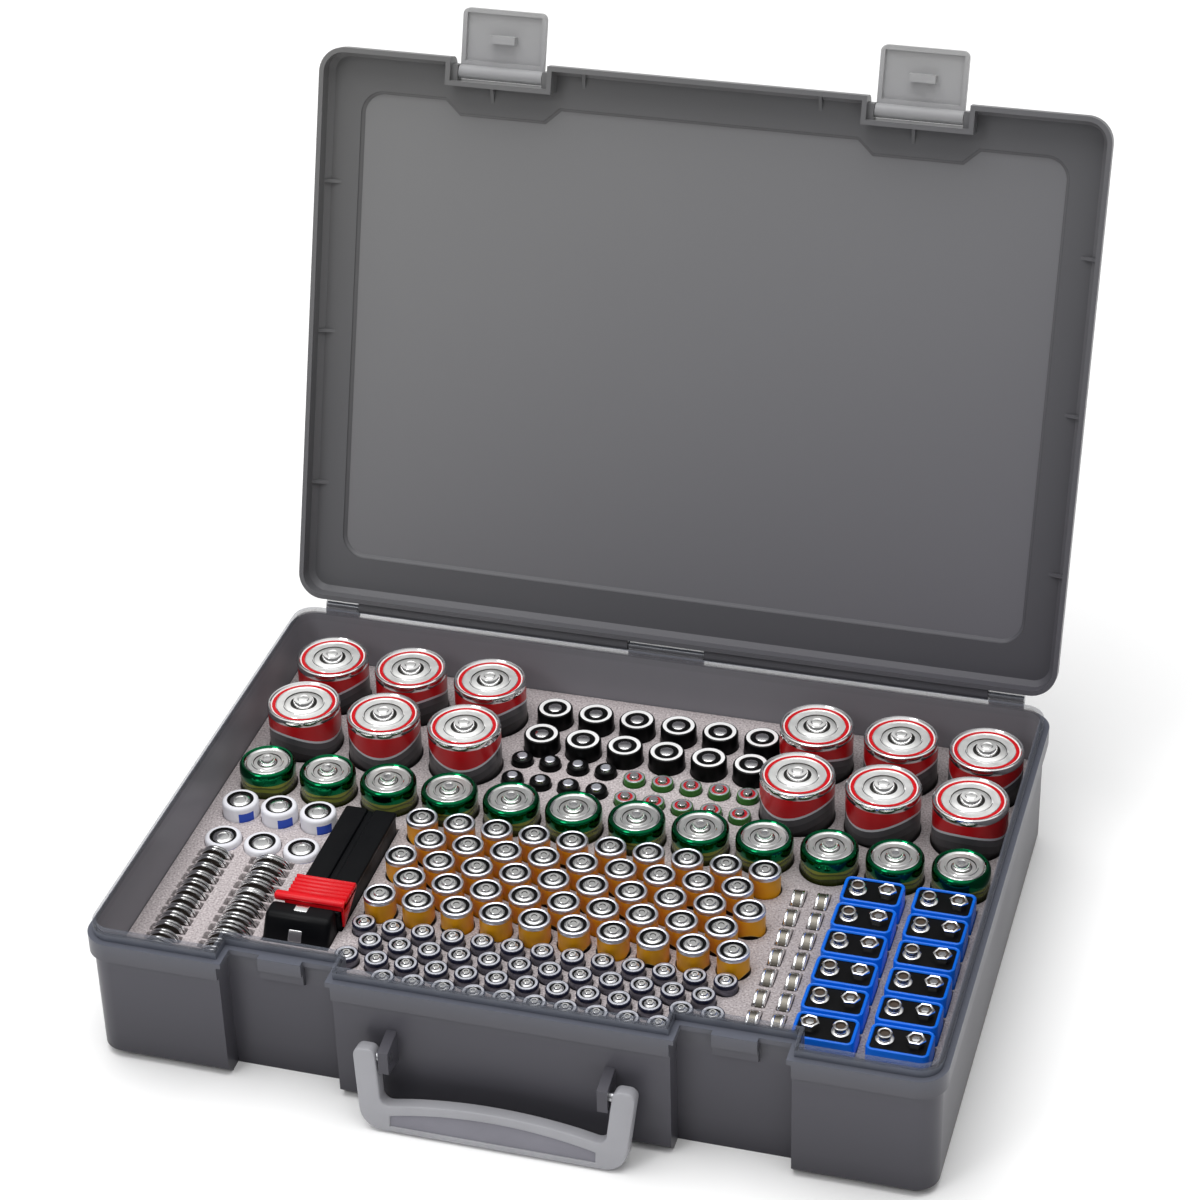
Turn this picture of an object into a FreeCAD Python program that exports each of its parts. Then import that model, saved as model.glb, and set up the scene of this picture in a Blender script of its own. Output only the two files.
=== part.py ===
"""Carrying case for household cells: hinged lid, two latches, handle, foam insert, cells and a tester.

The frame is +Z up, with its origin under the middle of the case, on the surface that it stands on.
Every piece is drawn with y counted from the shoulder's front edge and set back by half the depth.
The lid is drawn closed, in a frame on the hinge axis, and turned open by its Placement.
"""
import FreeCAD, Part
import os
import re

import Sketcher

# Every length is in millimetres and every angle in degrees.
SIZES = {
    # Plan of the case at the shoulder, where the lid lands
    "case_width": 366.0,
    "case_depth": 263.0,
    "shoulder_height": 62.5,
    "corner_radius": 12.0,
    # Walls of the base, measured in from the shoulder's outline
    "wall_inset": 2.0,
    "wall_thickness": 2.2,
    "floor_thickness": 1.7,
    "bottom_bevel": 4.0,
    "cavity_bevel": 3.0,
    "back_setback": 1.4,
    # Stiffening flange under the shoulder
    "flange_depth": 11.0,
    "flange_band": 2.5,
    # Tongue that the lid closes over
    "tongue_height": 6.0,
    "tongue_inset": 2.6,
    # Recesses behind the latches
    "recess_centre": 96.75,
    "recess_width": 46.0,
    "recess_depth": 10.3,
    # Catch in each recess: a ridge with a lower tab
    "catch_width": 19.0,
    "ridge_height": 6.5,
    "ridge_reach": 4.7,
    "tab_height": 5.5,
    "tab_reach": 2.7,
    "tab_slope": 2.6,
    # Ears that carry the handle
    "ear_inner": 44.4,
    "ear_width": 4.4,
    "ear_reach": 10.5,
    "ear_top": 41.5,
    "ear_front_top": 39.0,
    "ear_front_low": 28.0,
    "ear_low": 25.5,
    "pivot_reach": 6.5,
    "pivot_height": 33.5,
    # Handle
    "handle_side_gap": 1.8,
    "handle_arm": 9.8,
    "handle_thickness": 7.0,
    "handle_arm_top": 4.5,
    "handle_drop": 33.2,
    "handle_bar": 11.5,
    "handle_crown": 5.0,
    # What the arms draw in by towards the bar, and the handle's lean as it rests on the table
    "handle_outer_splay": 3.9,
    "handle_inner_splay": 2.5,
    "handle_lean": 9.0,
    "handle_bend": 10.0,
    "handle_inner_bend": 4.0,
    "handle_top_round": 3.5,
    "handle_edge": 1.2,
    "grip_half": 44.0,
    "grip_border": 2.5,
    "grip_end_height": 4.8,
    "grip_depth": 0.8,
    "handle_pin_radius": 2.2,
    # Running gap round each pin, and the gap of a pin in the piece that holds it
    "pin_gap": 0.2,
    "seat_gap": 0.05,
    # Lid
    "lid_gap": 0.3,
    "lid_height": 12.0,
    "lid_wall": 2.2,
    "lid_edge_radius": 6.5,
    "lid_inner_bevel": 2.5,
    "lid_notch_gap": 0.2,
    "panel_side_margin": 18.0,
    "panel_front_margin": 19.5,
    "panel_back_margin": 20.0,
    "panel_jog": 6.5,
    "panel_jog_inner": 20.0,
    "panel_jog_outer": 27.2,
    "panel_rise": 2.0,
    "panel_bevel": 1.6,
    "panel_corner": 11.0,
    "rib_length": 7.6,
    "rib_height": 3.0,
    "rib_thickness": 1.5,
    # Hinge
    "hinge_out": 3.0,
    "hinge_rise": 4.0,
    "barrel_radius": 2.7,
    "hinge_pin_radius": 1.3,
    "centre_knuckle": 36.0,
    "lid_knuckle": 134.0,
    "end_knuckle": 16.0,
    "knuckle_gap": 0.5,
    "bracket_low": 12.0,
    "bracket_back": 2.5,
    "lid_open_angle": 108.0,
    # Latches
    "latch_width": 39.5,
    "latch_axis_reach": 6.5,
    "latch_axis_rise": 6.0,
    "latch_barrel_radius": 3.2,
    "latch_length": 29.0,
    "latch_plate": 3.0,
    "latch_web": 1.2,
    "latch_frame": 2.0,
    "latch_corner": 3.0,
    "latch_side_gap": 0.3,
    "latch_pin_radius": 1.2,
    "nib_width": 12.0,
    "nib_start": 14.0,
    "nib_thickness": 3.5,
    "nib_reach": 2.5,
    # Foam insert
    "foam_top": 40.0,
    "foam_gap": 0.3,
    "foam_skin": 0.8,
    "cell_gap": 0.25,
    # Large cells, two rows of three in each back corner; a margin runs to the nearest axis
    "large_radius": 17.0,
    "large_height": 60.0,
    "large_nub_radius": 4.7,
    "large_nub_height": 1.5,
    "large_pitch": 39.0,
    "large_left_margin": 29.5,
    "large_right_margin": 24.5,
    "large_back_margin": 34.0,
    # Middle cells, one row across
    "middle_radius": 12.9,
    "middle_height": 50.0,
    "middle_nub_radius": 3.3,
    "middle_nub_height": 1.5,
    "middle_pitch": 29.1,
    "middle_x": -158.8,
    "middle_y": 154.75,
    # Finger cells, five staggered rows
    "finger_radius": 7.2,
    "finger_height": 49.2,
    "finger_pitch": 17.4,
    "finger_row_pitch": 14.25,
    "finger_x": -77.2,
    "finger_y": 76.0,
    # Slim cells, four staggered rows
    "slim_radius": 5.2,
    "slim_height": 43.2,
    "slim_pitch": 13.3,
    "slim_row_pitch": 11.1,
    "slim_x": -80.2,
    "slim_y": 29.9,
    # Camera cells, two rows at the back
    "camera_radius": 8.4,
    "camera_height": 34.5,
    "camera_top": 48.0,
    "camera_pitch": 19.9,
    "camera_row_pitch": 21.5,
    "camera_x": -45.5,
    "camera_back_margin": 29.5,
    # Short cells, in two groups
    "short_radius": 5.1,
    "short_height": 28.5,
    "short_top": 44.0,
    "short_pitch": 13.3,
    "short_row_pitch": 15.6,
    "short_dark_x": -51.0,
    "short_dark_y": 183.0,
    "short_bright_x": 3.2,
    "short_bright_y": 180.3,
    # White photo cells, two rows at the left
    "white_radius": 8.3,
    "white_height": 34.5,
    "white_back_top": 47.0,
    "white_front_top": 42.5,
    "white_pitch": 18.65,
    "white_margin": 20.0,
    "white_back_y": 130.5,
    "white_front_y": 108.5,
    # Coin cells on edge, one pack in each slit
    "coin_pack_thickness": 4.2,
    "coin_pitch": 6.05,
    "coin_y": 31.0,
    "coin_top": 44.5,
    "small_coin_radius": 8.0,
    "small_coin_margin": 20.6,
    "large_coin_radius": 10.0,
    "large_coin_margin": 47.0,
    # Button cells on edge, their faces to the sides
    "button_radius": 5.8,
    "button_thickness": 5.4,
    "button_top": 43.2,
    "button_margin": 77.5,
    "button_column_pitch": 10.5,
    "button_y": 47.0,
    "button_pitch": 13.9,
    # Square cells with two snaps
    "square_width": 26.3,
    "square_depth": 17.3,
    "square_height": 46.4,
    "square_margin": 25.0,
    "square_column_pitch": 31.0,
    "square_y": 39.0,
    "square_pitch": 18.6,
    "snap_offset": 6.4,
    "snap_height": 2.6,
    "round_snap_radius": 2.9,
    "hex_snap_radius": 3.7,
    # Tester, standing on edge in its own slot
    "tester_x": -101.6,
    "tester_width": 24.0,
    "tester_front": 60.0,
    "tester_back": 135.0,
    "tester_top": 49.5,
    "tester_round": 3.0,
    "groove_width": 3.0,
    "groove_depth": 1.2,
    "groove_margin": 6.0,
    "nose_x": -106.0,
    "nose_width": 30.0,
    "nose_front": 34.0,
    "nose_top": 49.0,
    "nose_round": 5.0,
    "slider_gap": 0.3,
    "slider_side": 1.2,
    "slider_plate": 3.0,
    "slider_length": 17.0,
    "slider_rib": 1.0,
    "slider_rib_width": 1.6,
    "slider_bar_reach": 5.0,
    "slider_bar_length": 4.5,
    "slider_skirt": 8.0,
    "contact_width": 6.0,
    "contact_thickness": 0.5,
    "contact_height": 6.0,
    "contact_low": 41.5,
    # How far a cut runs past what it cuts, and how near two places are that count as one
    "overrun": 1.0,
    "match": 0.05,
}

# Counts of what repeats
LARGE_COLUMNS = 3
LARGE_ROWS = 2
MIDDLE_COUNT = 12
FINGER_ROW_COUNTS = (10, 9, 10, 9, 10)
SLIM_ROW_COUNTS = (10, 13, 12, 13)
CAMERA_COUNTS = (6, 2)
SHORT_DARK_COUNTS = (4, 2)
SHORT_BRIGHT_COUNTS = (5, 2)
WHITE_COUNT = 3
COIN_COUNT = 12
BUTTON_COUNTS = (2, 7)
SQUARE_COUNTS = (2, 6)
SLIDER_RIBS = 5

# How far each staggered row starts from the kind's own line, in shares of the pitch
FINGER_START_SHARES = (0.0, 0.5, 0.0, 0.5, 0.0)
SLIM_START_SHARES = (1.5, 0.0, 0.5, 0.0)
# Places of the lid's inner ribs, in shares of its depth from the hinge and of its half width
SIDE_RIB_SHARES = (0.21, 0.49, 0.76)
FRONT_RIB_SHARES = (-0.555, -0.32, 0.28, 0.515)

# Sides of the prisms that stand for round cells, fewer on the slender kinds that come in large numbers
LARGE_SIDES = 12
MIDDLE_SIDES = 10
SMALL_SIDES = 8
SLENDER_SIDES = 6
HEX_SIDES = 6

SIDES = (("left", "-"), ("right", ""))
X_AXIS = FreeCAD.Vector(1, 0, 0)
Y_AXIS = FreeCAD.Vector(0, 1, 0)
Z_AXIS = FreeCAD.Vector(0, 0, 1)

# Formulas that several sub-parts share
HALF = "case_width / 2"
HINGE_Y = "(case_depth + hinge_out)"
HINGE_Z = "(shoulder_height + hinge_rise)"
LID_FRONT = "(-case_depth - hinge_out)"
LID_RIM = "(lid_gap - hinge_rise)"
LID_TOP = "(lid_gap - hinge_rise + lid_height)"
CAVITY_INSET = "(wall_inset + wall_thickness)"
CELL_FLOOR = "(floor_thickness + foam_skin)"
LATCH_Y = "(latch_axis_reach - case_depth - hinge_out)"
LATCH_Z = "(latch_axis_rise - hinge_rise)"

doc = FreeCAD.newDocument("battery_case")
sheet = doc.addObject("Spreadsheet::Sheet", "Sizes")
subparts = []


def fill_sheet():
    """Write every size into the sheet, one row each, under its own alias."""
    for row, (name, size) in enumerate(SIZES.items(), start=1):
        sheet.set(f"A{row}", name)
        sheet.set(f"B{row}", str(size))
        sheet.setAlias(f"B{row}", name)
    doc.recompute()


def spell(formula):
    """The formula with each size's name spelled as the document's expressions spell it."""
    return re.sub(r"[a-z_]+", lambda m: "Sizes." + m[0] if m[0] in SIZES else m[0], formula)


def value(formula):
    """The number that a formula of size names gives."""
    return float(sheet.evalExpression(spell(formula)))


def bind(item, prop, formula):
    """Bind one property of an object to a formula."""
    item.setExpression(prop, spell(formula))


def place(item, x="0", y="0", z="0", axis=None, angle="0"):
    """Bind an object's place, and its turn about one axis where it has one."""
    if axis is not None:
        item.Placement = FreeCAD.Placement(FreeCAD.Vector(), FreeCAD.Rotation(axis, value(angle)))
        bind(item, "Placement.Rotation.Angle", angle)
    bind(item, "Placement.Base.x", x)
    bind(item, "Placement.Base.y", y)
    bind(item, "Placement.Base.z", z)


def keep(item, label):
    """Name an object as a sub-part that has a file of its own."""
    item.Label = label
    subparts.append(item)
    return item


def new_body(name):
    return doc.addObject("PartDesign::Body", name)


def draw(body, name, role, points, offset="0"):
    """Closed sketch through points of formulas; a third entry is the rise of an arc to the next."""
    drawing = body.newObject("Sketcher::SketchObject", name)
    plane = next(f for f in body.Origin.OriginFeatures if f.Role == role)
    drawing.AttachmentSupport = [(plane, "")]
    drawing.MapMode = "FlatFace"
    bind(drawing, "AttachmentOffset.Base.z", offset)
    spots = [FreeCAD.Vector(value(point[0]), value(point[1]), 0) for point in points]
    ends = []
    for index, point in enumerate(points):
        start, stop = spots[index], spots[(index + 1) % len(spots)]
        if len(point) == 2:
            drawing.addGeometry(Part.LineSegment(start, stop), False)
            ends.append((1, 2))
            continue
        across = (stop - start).normalize()
        middle = (start + stop) * 0.5 + FreeCAD.Vector(-across.y, across.x, 0) * value(point[2])
        arc = Part.Arc(start, middle, stop)
        drawing.addGeometry(arc, False)
        forward = drawing.Geometry[index].StartPoint.distanceToPoint(start) < value("match")
        ends.append((1, 2) if forward else (2, 1))
    for index, point in enumerate(points):
        after = (index + 1) % len(points)
        drawing.addConstraint(Sketcher.Constraint("Coincident", index, ends[index][1], after, ends[after][0]))
    for index, point in enumerate(points):
        for kind, formula, axis in (("DistanceX", point[0], -2), ("DistanceY", point[1], -1)):
            number = value(formula)
            if number == 0:
                drawing.addConstraint(Sketcher.Constraint("PointOnObject", index, ends[index][0], axis))
                continue
            rule = drawing.addConstraint(Sketcher.Constraint(kind, -1, 1, index, ends[index][0], number))
            drawing.setExpression(f"Constraints[{rule}]", spell(formula))
    for index, point in enumerate(points):
        if len(point) == 3:
            after = points[(index + 1) % len(points)]
            chord = f"((({after[0]}) - ({point[0]}))^2 + (({after[1]}) - ({point[1]}))^2)"
            radius = f"{chord} / (8 * abs({point[2]})) + abs({point[2]}) / 2"
            rule = drawing.addConstraint(Sketcher.Constraint("Radius", index, value(radius)))
            drawing.setExpression(f"Constraints[{rule}]", spell(radius))
    return drawing


def extrude(body, kind, name, role, points, offset, length, both_ways=False):
    """Pad or Pocket of a drawn outline."""
    drawing = draw(body, name + "_outline", role, points, offset)
    feature = body.newObject("PartDesign::" + kind, name)
    feature.Profile = drawing
    if both_ways:
        feature.SideType = "Symmetric"
    bind(feature, "Length", length)
    doc.recompute()
    return feature


def block(body, kind, name, low, size):
    """Additive or Subtractive box from its low corner and its three sizes."""
    feature = body.newObject(f"PartDesign::{kind}Box", name)
    for prop, formula in zip(("Length", "Width", "Height"), size):
        bind(feature, prop, formula)
    place(feature, *low)
    doc.recompute()
    return feature


def rod(body, kind, name, low, radius, length):
    """Additive or Subtractive cylinder along X, from its left end."""
    feature = body.newObject(f"PartDesign::{kind}Cylinder", name)
    bind(feature, "Radius", radius)
    bind(feature, "Height", length)
    place(feature, *low, axis=Y_AXIS, angle="90")
    doc.recompute()
    return feature


def dress(body, kind, name, edges, size):
    """Fillet or Chamfer on the named edges of the body's last feature."""
    base = body.Tip
    feature = body.newObject("PartDesign::" + kind, name)
    feature.Base = (base, edges)
    bind(feature, "Radius" if kind == "Fillet" else "Size", size)
    doc.recompute()
    return feature


def edges_of(body, test):
    """Names of the edges of the body's last feature that pass a test on their box."""
    edges = body.Tip.Shape.Edges
    return [f"Edge{number}" for number, edge in enumerate(edges, start=1) if test(edge.BoundBox)]


def same(first, second):
    return abs(first - second) < value("match")


def level_ring(body, height):
    """Edges that lie at one height."""
    level = value(height)
    return edges_of(body, lambda box: same(box.ZMin, level) and same(box.ZMax, level))


def plan(inset, back_inset, front):
    """Half width, front and back of the case's plan, drawn in from the shoulder's outline."""
    return f"({HALF} - {inset})", f"({front} + {inset})", f"({front} + case_depth - {back_inset})"


def bulge(radius):
    """Rise of a quarter round, bulging to the right of the way that an outline runs."""
    return f"-({radius}) * (1 - sqrt(0.5))"


def add_slab(body, name, inset, back_inset, low, height, front, corner):
    """Add a slab with the case's plan and rounded corners."""
    half, near, far = plan(inset, back_inset, front)
    radius = f"({corner})"
    outline = [
        (f"{radius} - {half}", near),
        (f"{half} - {radius}", near, bulge(radius)),
        (half, f"{near} + {radius}"),
        (half, f"{far} - {radius}", bulge(radius)),
        (f"{half} - {radius}", far),
        (f"{radius} - {half}", far, bulge(radius)),
        ("-" + half, f"{far} - {radius}"),
        ("-" + half, f"{near} + {radius}", bulge(radius)),
    ]
    extrude(body, "Pad", name, "XY_Plane", outline, low, height)


def cut_notches(body, name, inset, depth, low, height, front):
    """Cut the space in front of both latches, wider and deeper by an inset."""
    for side, sign in SIDES:
        corner = (f"{sign}recess_centre - recess_width / 2 - {inset}", f"{front} - overrun", low)
        size = (f"recess_width + 2 * {inset}", f"{depth} + {inset} + overrun", height)
        block(body, "Subtractive", f"{name}_{side}", corner, size)


def subtract(label, whole, tool):
    """Cut one body out of another."""
    result = doc.addObject("Part::Cut", label)
    result.Base = whole
    result.Tool = tool
    return keep(result, label)


def add_catch(body, side, sign):
    """Ridge and tab that the latch's nib hooks under."""
    root = "(recess_depth + wall_inset + wall_thickness / 2)"
    face = "(recess_depth + wall_inset)"
    under = "(shoulder_height - ridge_height)"
    low = f"({under} - tab_height)"
    outline = [
        (root, "shoulder_height"),
        (f"{face} - ridge_reach", "shoulder_height"),
        (f"{face} - ridge_reach", under),
        (f"{face} - tab_reach", under),
        (f"{face} - tab_reach", low),
        (root, f"{low} - tab_slope"),
    ]
    extrude(body, "Pad", "catch_" + side, "YZ_Plane", outline, sign + "recess_centre", "catch_width", True)


def add_ear(body, side, sign):
    """Faceted ear beside the handle's arm, with its pin hole."""
    root = "(wall_inset + wall_thickness / 2)"
    middle = f"{sign}(ear_inner + ear_width / 2)"
    outline = [
        (root, "ear_top"),
        ("-ear_reach", "ear_front_top"),
        ("-ear_reach", "ear_front_low"),
        (root, "ear_low"),
    ]
    extrude(body, "Pad", "ear_" + side, "YZ_Plane", outline, middle, "ear_width", True)
    hole = (f"{middle} - ear_width / 2 - overrun", "-pivot_reach", "pivot_height")
    radius = "handle_pin_radius + seat_gap"
    rod(body, "Subtractive", "ear_hole_" + side, hole, radius, "ear_width + 2 * overrun")


def add_base_knuckle(body, name, left, length):
    """Hinge barrel on a bracket that grows out of the back flange."""
    shoulder_drop = "hinge_rise + lid_gap"
    outline = [
        (f"{HINGE_Y} - barrel_radius", HINGE_Z),
        (f"{HINGE_Y} + barrel_radius", HINGE_Z),
        (f"{HINGE_Y} + barrel_radius", f"{HINGE_Z} - bracket_back"),
        (f"{HINGE_Y} - 2 * barrel_radius", f"{HINGE_Z} - bracket_low"),
        (f"{HINGE_Y} - 2 * barrel_radius", f"{HINGE_Z} - {shoulder_drop}"),
        (f"{HINGE_Y} - barrel_radius", f"{HINGE_Z} - {shoulder_drop}"),
    ]
    extrude(body, "Pad", name + "_bracket", "YZ_Plane", outline, left, length)
    rod(body, "Additive", name, (left, HINGE_Y, HINGE_Z), "barrel_radius", length)


def base_knuckles():
    """Left end and length of each of the base's knuckles."""
    reach = "(centre_knuckle / 2 + knuckle_gap + lid_knuckle + knuckle_gap)"
    return (
        ("knuckle_left", f"-{reach} - end_knuckle", "end_knuckle"),
        ("knuckle_centre", "-centre_knuckle / 2", "centre_knuckle"),
        ("knuckle_right", reach, "end_knuckle"),
    )


def hinge_bore(body, y, z, gap):
    """Bore for the hinge pin right through the knuckles."""
    low = (f"-{HALF}", y, z)
    rod(body, "Subtractive", "hinge_bore", low, f"hinge_pin_radius + {gap}", "case_width")


def make_base():
    """Open base: walls, shoulder flange, tongue, recesses, catches, ears and knuckles."""
    outer = new_body("base_outer")
    flange_low = "(shoulder_height - flange_depth)"
    add_slab(outer, "flange", "0", "0", flange_low, "flange_depth", "0", "corner_radius")
    taper = dress(outer, "Chamfer", "flange_taper", level_ring(outer, flange_low), "wall_inset")
    taper.ChamferType = "Two distances"
    bind(taper, "Size2", "flange_depth - flange_band")
    doc.recompute()
    add_slab(outer, "walls", "wall_inset", "(wall_inset + back_setback)", "0",
             "shoulder_height - flange_band", "0", "corner_radius - wall_inset")
    dress(outer, "Chamfer", "bottom_edge", level_ring(outer, "0"), "bottom_bevel")
    tongue_low = "(shoulder_height - flange_band)"
    tongue_tall = "flange_band + tongue_height"
    add_slab(outer, "tongue", "tongue_inset", "(tongue_inset + back_setback)", tongue_low, tongue_tall,
             "0", "corner_radius - tongue_inset")
    lip_low = "(shoulder_height - flange_band)"
    cut_notches(outer, "recess", "wall_inset", "recess_depth", "-overrun", f"{lip_low} + overrun", "0")
    cut_notches(outer, "lip", "0", "recess_depth", f"{lip_low} - overrun", "flange_band + 2 * overrun", "0")
    cut_notches(outer, "tongue_notch", "tongue_inset", "recess_depth", "shoulder_height",
                "tongue_height + overrun", "0")
    for side, sign in SIDES:
        add_catch(outer, side, sign)
        add_ear(outer, side, sign)
    for name, left, length in base_knuckles():
        add_base_knuckle(outer, name, left, length)
    hinge_bore(outer, HINGE_Y, HINGE_Z, "seat_gap")
    cavity = new_body("base_cavity")
    cavity_tall = "shoulder_height + tongue_height + overrun - floor_thickness"
    add_slab(cavity, "space", CAVITY_INSET, f"({CAVITY_INSET} + back_setback)", "floor_thickness",
             cavity_tall, "0", f"corner_radius - {CAVITY_INSET}")
    dress(cavity, "Chamfer", "space_edge", level_ring(cavity, "floor_thickness"), "cavity_bevel")
    cut_notches(cavity, "recess_back", CAVITY_INSET, "recess_depth", "-overrun",
                "shoulder_height + tongue_height + 3 * overrun", "0")
    subtract("base_shell", outer, cavity)


def panel_outline(grow):
    """Outline of the lid's raised panel, stepped back behind each latch."""
    radius = f"(panel_corner + {grow})"
    side = f"({HALF} - panel_side_margin + {grow})"
    near = f"({LID_FRONT} + panel_front_margin - {grow})"
    step = f"({near} + panel_jog)"
    far = f"({LID_FRONT} + case_depth - panel_back_margin + {grow})"
    inner = f"(panel_jog_inner - {grow})"
    outer = f"(panel_jog_outer - {grow})"
    right = [
        (f"recess_centre - {outer}", near),
        (f"recess_centre - {inner}", step),
        (f"recess_centre + {inner}", step),
        (f"recess_centre + {outer}", near),
        (f"{side} - {radius}", near, bulge(radius)),
        (side, f"{near} + {radius}"),
        (side, f"{far} - {radius}", bulge(radius)),
        (f"{side} - {radius}", far),
    ]
    left = [
        (f"{radius} - {side}", far, bulge(radius)),
        ("-" + side, f"{far} - {radius}"),
        ("-" + side, f"{near} + {radius}", bulge(radius)),
        (f"{radius} - {side}", near),
        (f"-(recess_centre + {outer})", near),
        (f"-(recess_centre + {inner})", step),
        (f"-(recess_centre - {inner})", step),
        (f"-(recess_centre - {outer})", near),
    ]
    return right + left


def add_panel(body, low, height, grow):
    """Raise the panel on a slab, with round corners and a bevelled edge."""
    extrude(body, "Pad", "panel", "XY_Plane", panel_outline(grow), low, height)
    dress(body, "Chamfer", "panel_bevel_edge", level_ring(body, f"{low} + {height}"), "panel_bevel")


def leave_ribs(cavity):
    """Keep small triangular ribs in the corner between the lid's walls and its top."""
    top = f"({LID_TOP} - lid_wall)"
    near = f"({LID_FRONT} + lid_wall)"
    for number, share in enumerate(SIDE_RIB_SHARES):
        middle = f"({LID_FRONT} + case_depth * (1 - {share}))"
        for side, sign in SIDES:
            wall = f"({HALF} - lid_wall)"
            outline = [
                (f"{sign}({wall} + overrun)", f"{top} + overrun"),
                (f"{sign}({wall} + overrun)", f"{top} - rib_height"),
                (f"{sign}{wall}", f"{top} - rib_height"),
                (f"{sign}({wall} - rib_length)", top),
                (f"{sign}({wall} - rib_length)", f"{top} + overrun"),
            ]
            extrude(cavity, "Pocket", f"rib_{side}_{number}", "XZ_Plane", outline, f"-{middle}",
                    "rib_thickness", True)
    for number, share in enumerate(FRONT_RIB_SHARES):
        off_latch = abs(abs(share) * value(HALF) - value("recess_centre"))
        behind_latch = off_latch < value("recess_width / 2")
        step = f"({near} + lid_notch_gap + recess_depth)" if behind_latch else near
        outline = [
            (f"{step} - overrun", f"{top} + overrun"),
            (f"{step} - overrun", f"{top} - rib_height"),
            (step, f"{top} - rib_height"),
            (f"{step} + rib_length", top),
            (f"{step} + rib_length", f"{top} + overrun"),
        ]
        extrude(cavity, "Pocket", f"rib_front_{number}", "YZ_Plane", outline, f"{HALF} * {share}",
                "rib_thickness", True)


def make_lid():
    """Lid tray with a raised panel, latch notches, pin bosses, inner ribs and two long knuckles."""
    outer = new_body("lid_outer")
    add_slab(outer, "tray", "0", "0", LID_RIM, "lid_height", LID_FRONT, "corner_radius")
    dress(outer, "Fillet", "tray_edge", level_ring(outer, LID_TOP), "lid_edge_radius")
    add_panel(outer, f"({LID_TOP} - overrun)", "(panel_rise + overrun)", "panel_bevel")
    cut_notches(outer, "notch", "0", "recess_depth + lid_notch_gap", f"{LID_RIM} - overrun",
                "lid_height + 2 * overrun", LID_FRONT)
    boss_length = "((recess_width - latch_width) / 2 - latch_side_gap)"
    boss_front = f"({LATCH_Y} - latch_barrel_radius)"
    boss_back = f"({LID_FRONT} + recess_depth + lid_notch_gap + lid_wall / 2)"
    for side, sign in SIDES:
        for end, start in (
            ("outside", f"{sign}recess_centre - recess_width / 2"),
            ("inside", f"{sign}recess_centre + recess_width / 2 - {boss_length}"),
        ):
            block(outer, "Additive", f"boss_{side}_{end}",
                  (start, boss_front, f"{LATCH_Z} - latch_barrel_radius"),
                  (boss_length, f"{boss_back} - {boss_front}", "2 * latch_barrel_radius"))
        hole_start = f"{sign}recess_centre - recess_width / 2 - lid_wall / 2"
        rod(outer, "Subtractive", f"pin_hole_{side}", (hole_start, LATCH_Y, LATCH_Z),
            "latch_pin_radius + seat_gap", "recess_width + lid_wall")
    for side, start in (
        ("left", "-centre_knuckle / 2 - knuckle_gap - lid_knuckle"),
        ("right", "centre_knuckle / 2 + knuckle_gap"),
    ):
        web = (start, "-(hinge_out + lid_wall / 2)", "-barrel_radius")
        block(outer, "Additive", f"knuckle_web_{side}", web,
              ("lid_knuckle", "hinge_out + lid_wall / 2", "2 * barrel_radius"))
        rod(outer, "Additive", f"knuckle_{side}", (start, "0", "0"), "barrel_radius", "lid_knuckle")
    hinge_bore(outer, "0", "0", "pin_gap")
    cavity = new_body("lid_cavity")
    add_slab(cavity, "space", "lid_wall", "lid_wall", f"({LID_RIM} - overrun)",
             "(lid_height - lid_wall + overrun)", LID_FRONT, "corner_radius - lid_wall")
    dress(cavity, "Chamfer", "space_edge", level_ring(cavity, f"{LID_TOP} - lid_wall"), "lid_inner_bevel")
    add_panel(cavity, f"({LID_TOP} - lid_wall - overrun)", "(panel_rise + overrun)", "0")
    cut_notches(cavity, "notch_back", "lid_wall", "recess_depth + lid_notch_gap",
                f"{LID_RIM} - 2 * overrun", "lid_height + 4 * overrun", LID_FRONT)
    leave_ribs(cavity)
    lid = subtract("lid_shell", outer, cavity)
    place(lid, "0", HINGE_Y, HINGE_Z, X_AXIS, "-lid_open_angle")


def on_lid(y, z):
    """Formulas of a point's y and z in the case's frame, from its y and z in the lid's frame."""
    across = f"{HINGE_Y} + {y} * cos(lid_open_angle) + {z} * sin(lid_open_angle)"
    up = f"{HINGE_Z} - {y} * sin(lid_open_angle) + {z} * cos(lid_open_angle)"
    return across, up


def make_hinge_pin():
    """Rod that runs through all the knuckles."""
    pin = doc.addObject("Part::Cylinder", "hinge_rod")
    reach = "(centre_knuckle / 2 + 2 * knuckle_gap + lid_knuckle + end_knuckle)"
    bind(pin, "Radius", "hinge_pin_radius")
    bind(pin, "Height", f"2 * {reach}")
    place(pin, f"-{reach}", HINGE_Y, HINGE_Z, Y_AXIS, "90")
    keep(pin, "hinge_pin")


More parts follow.
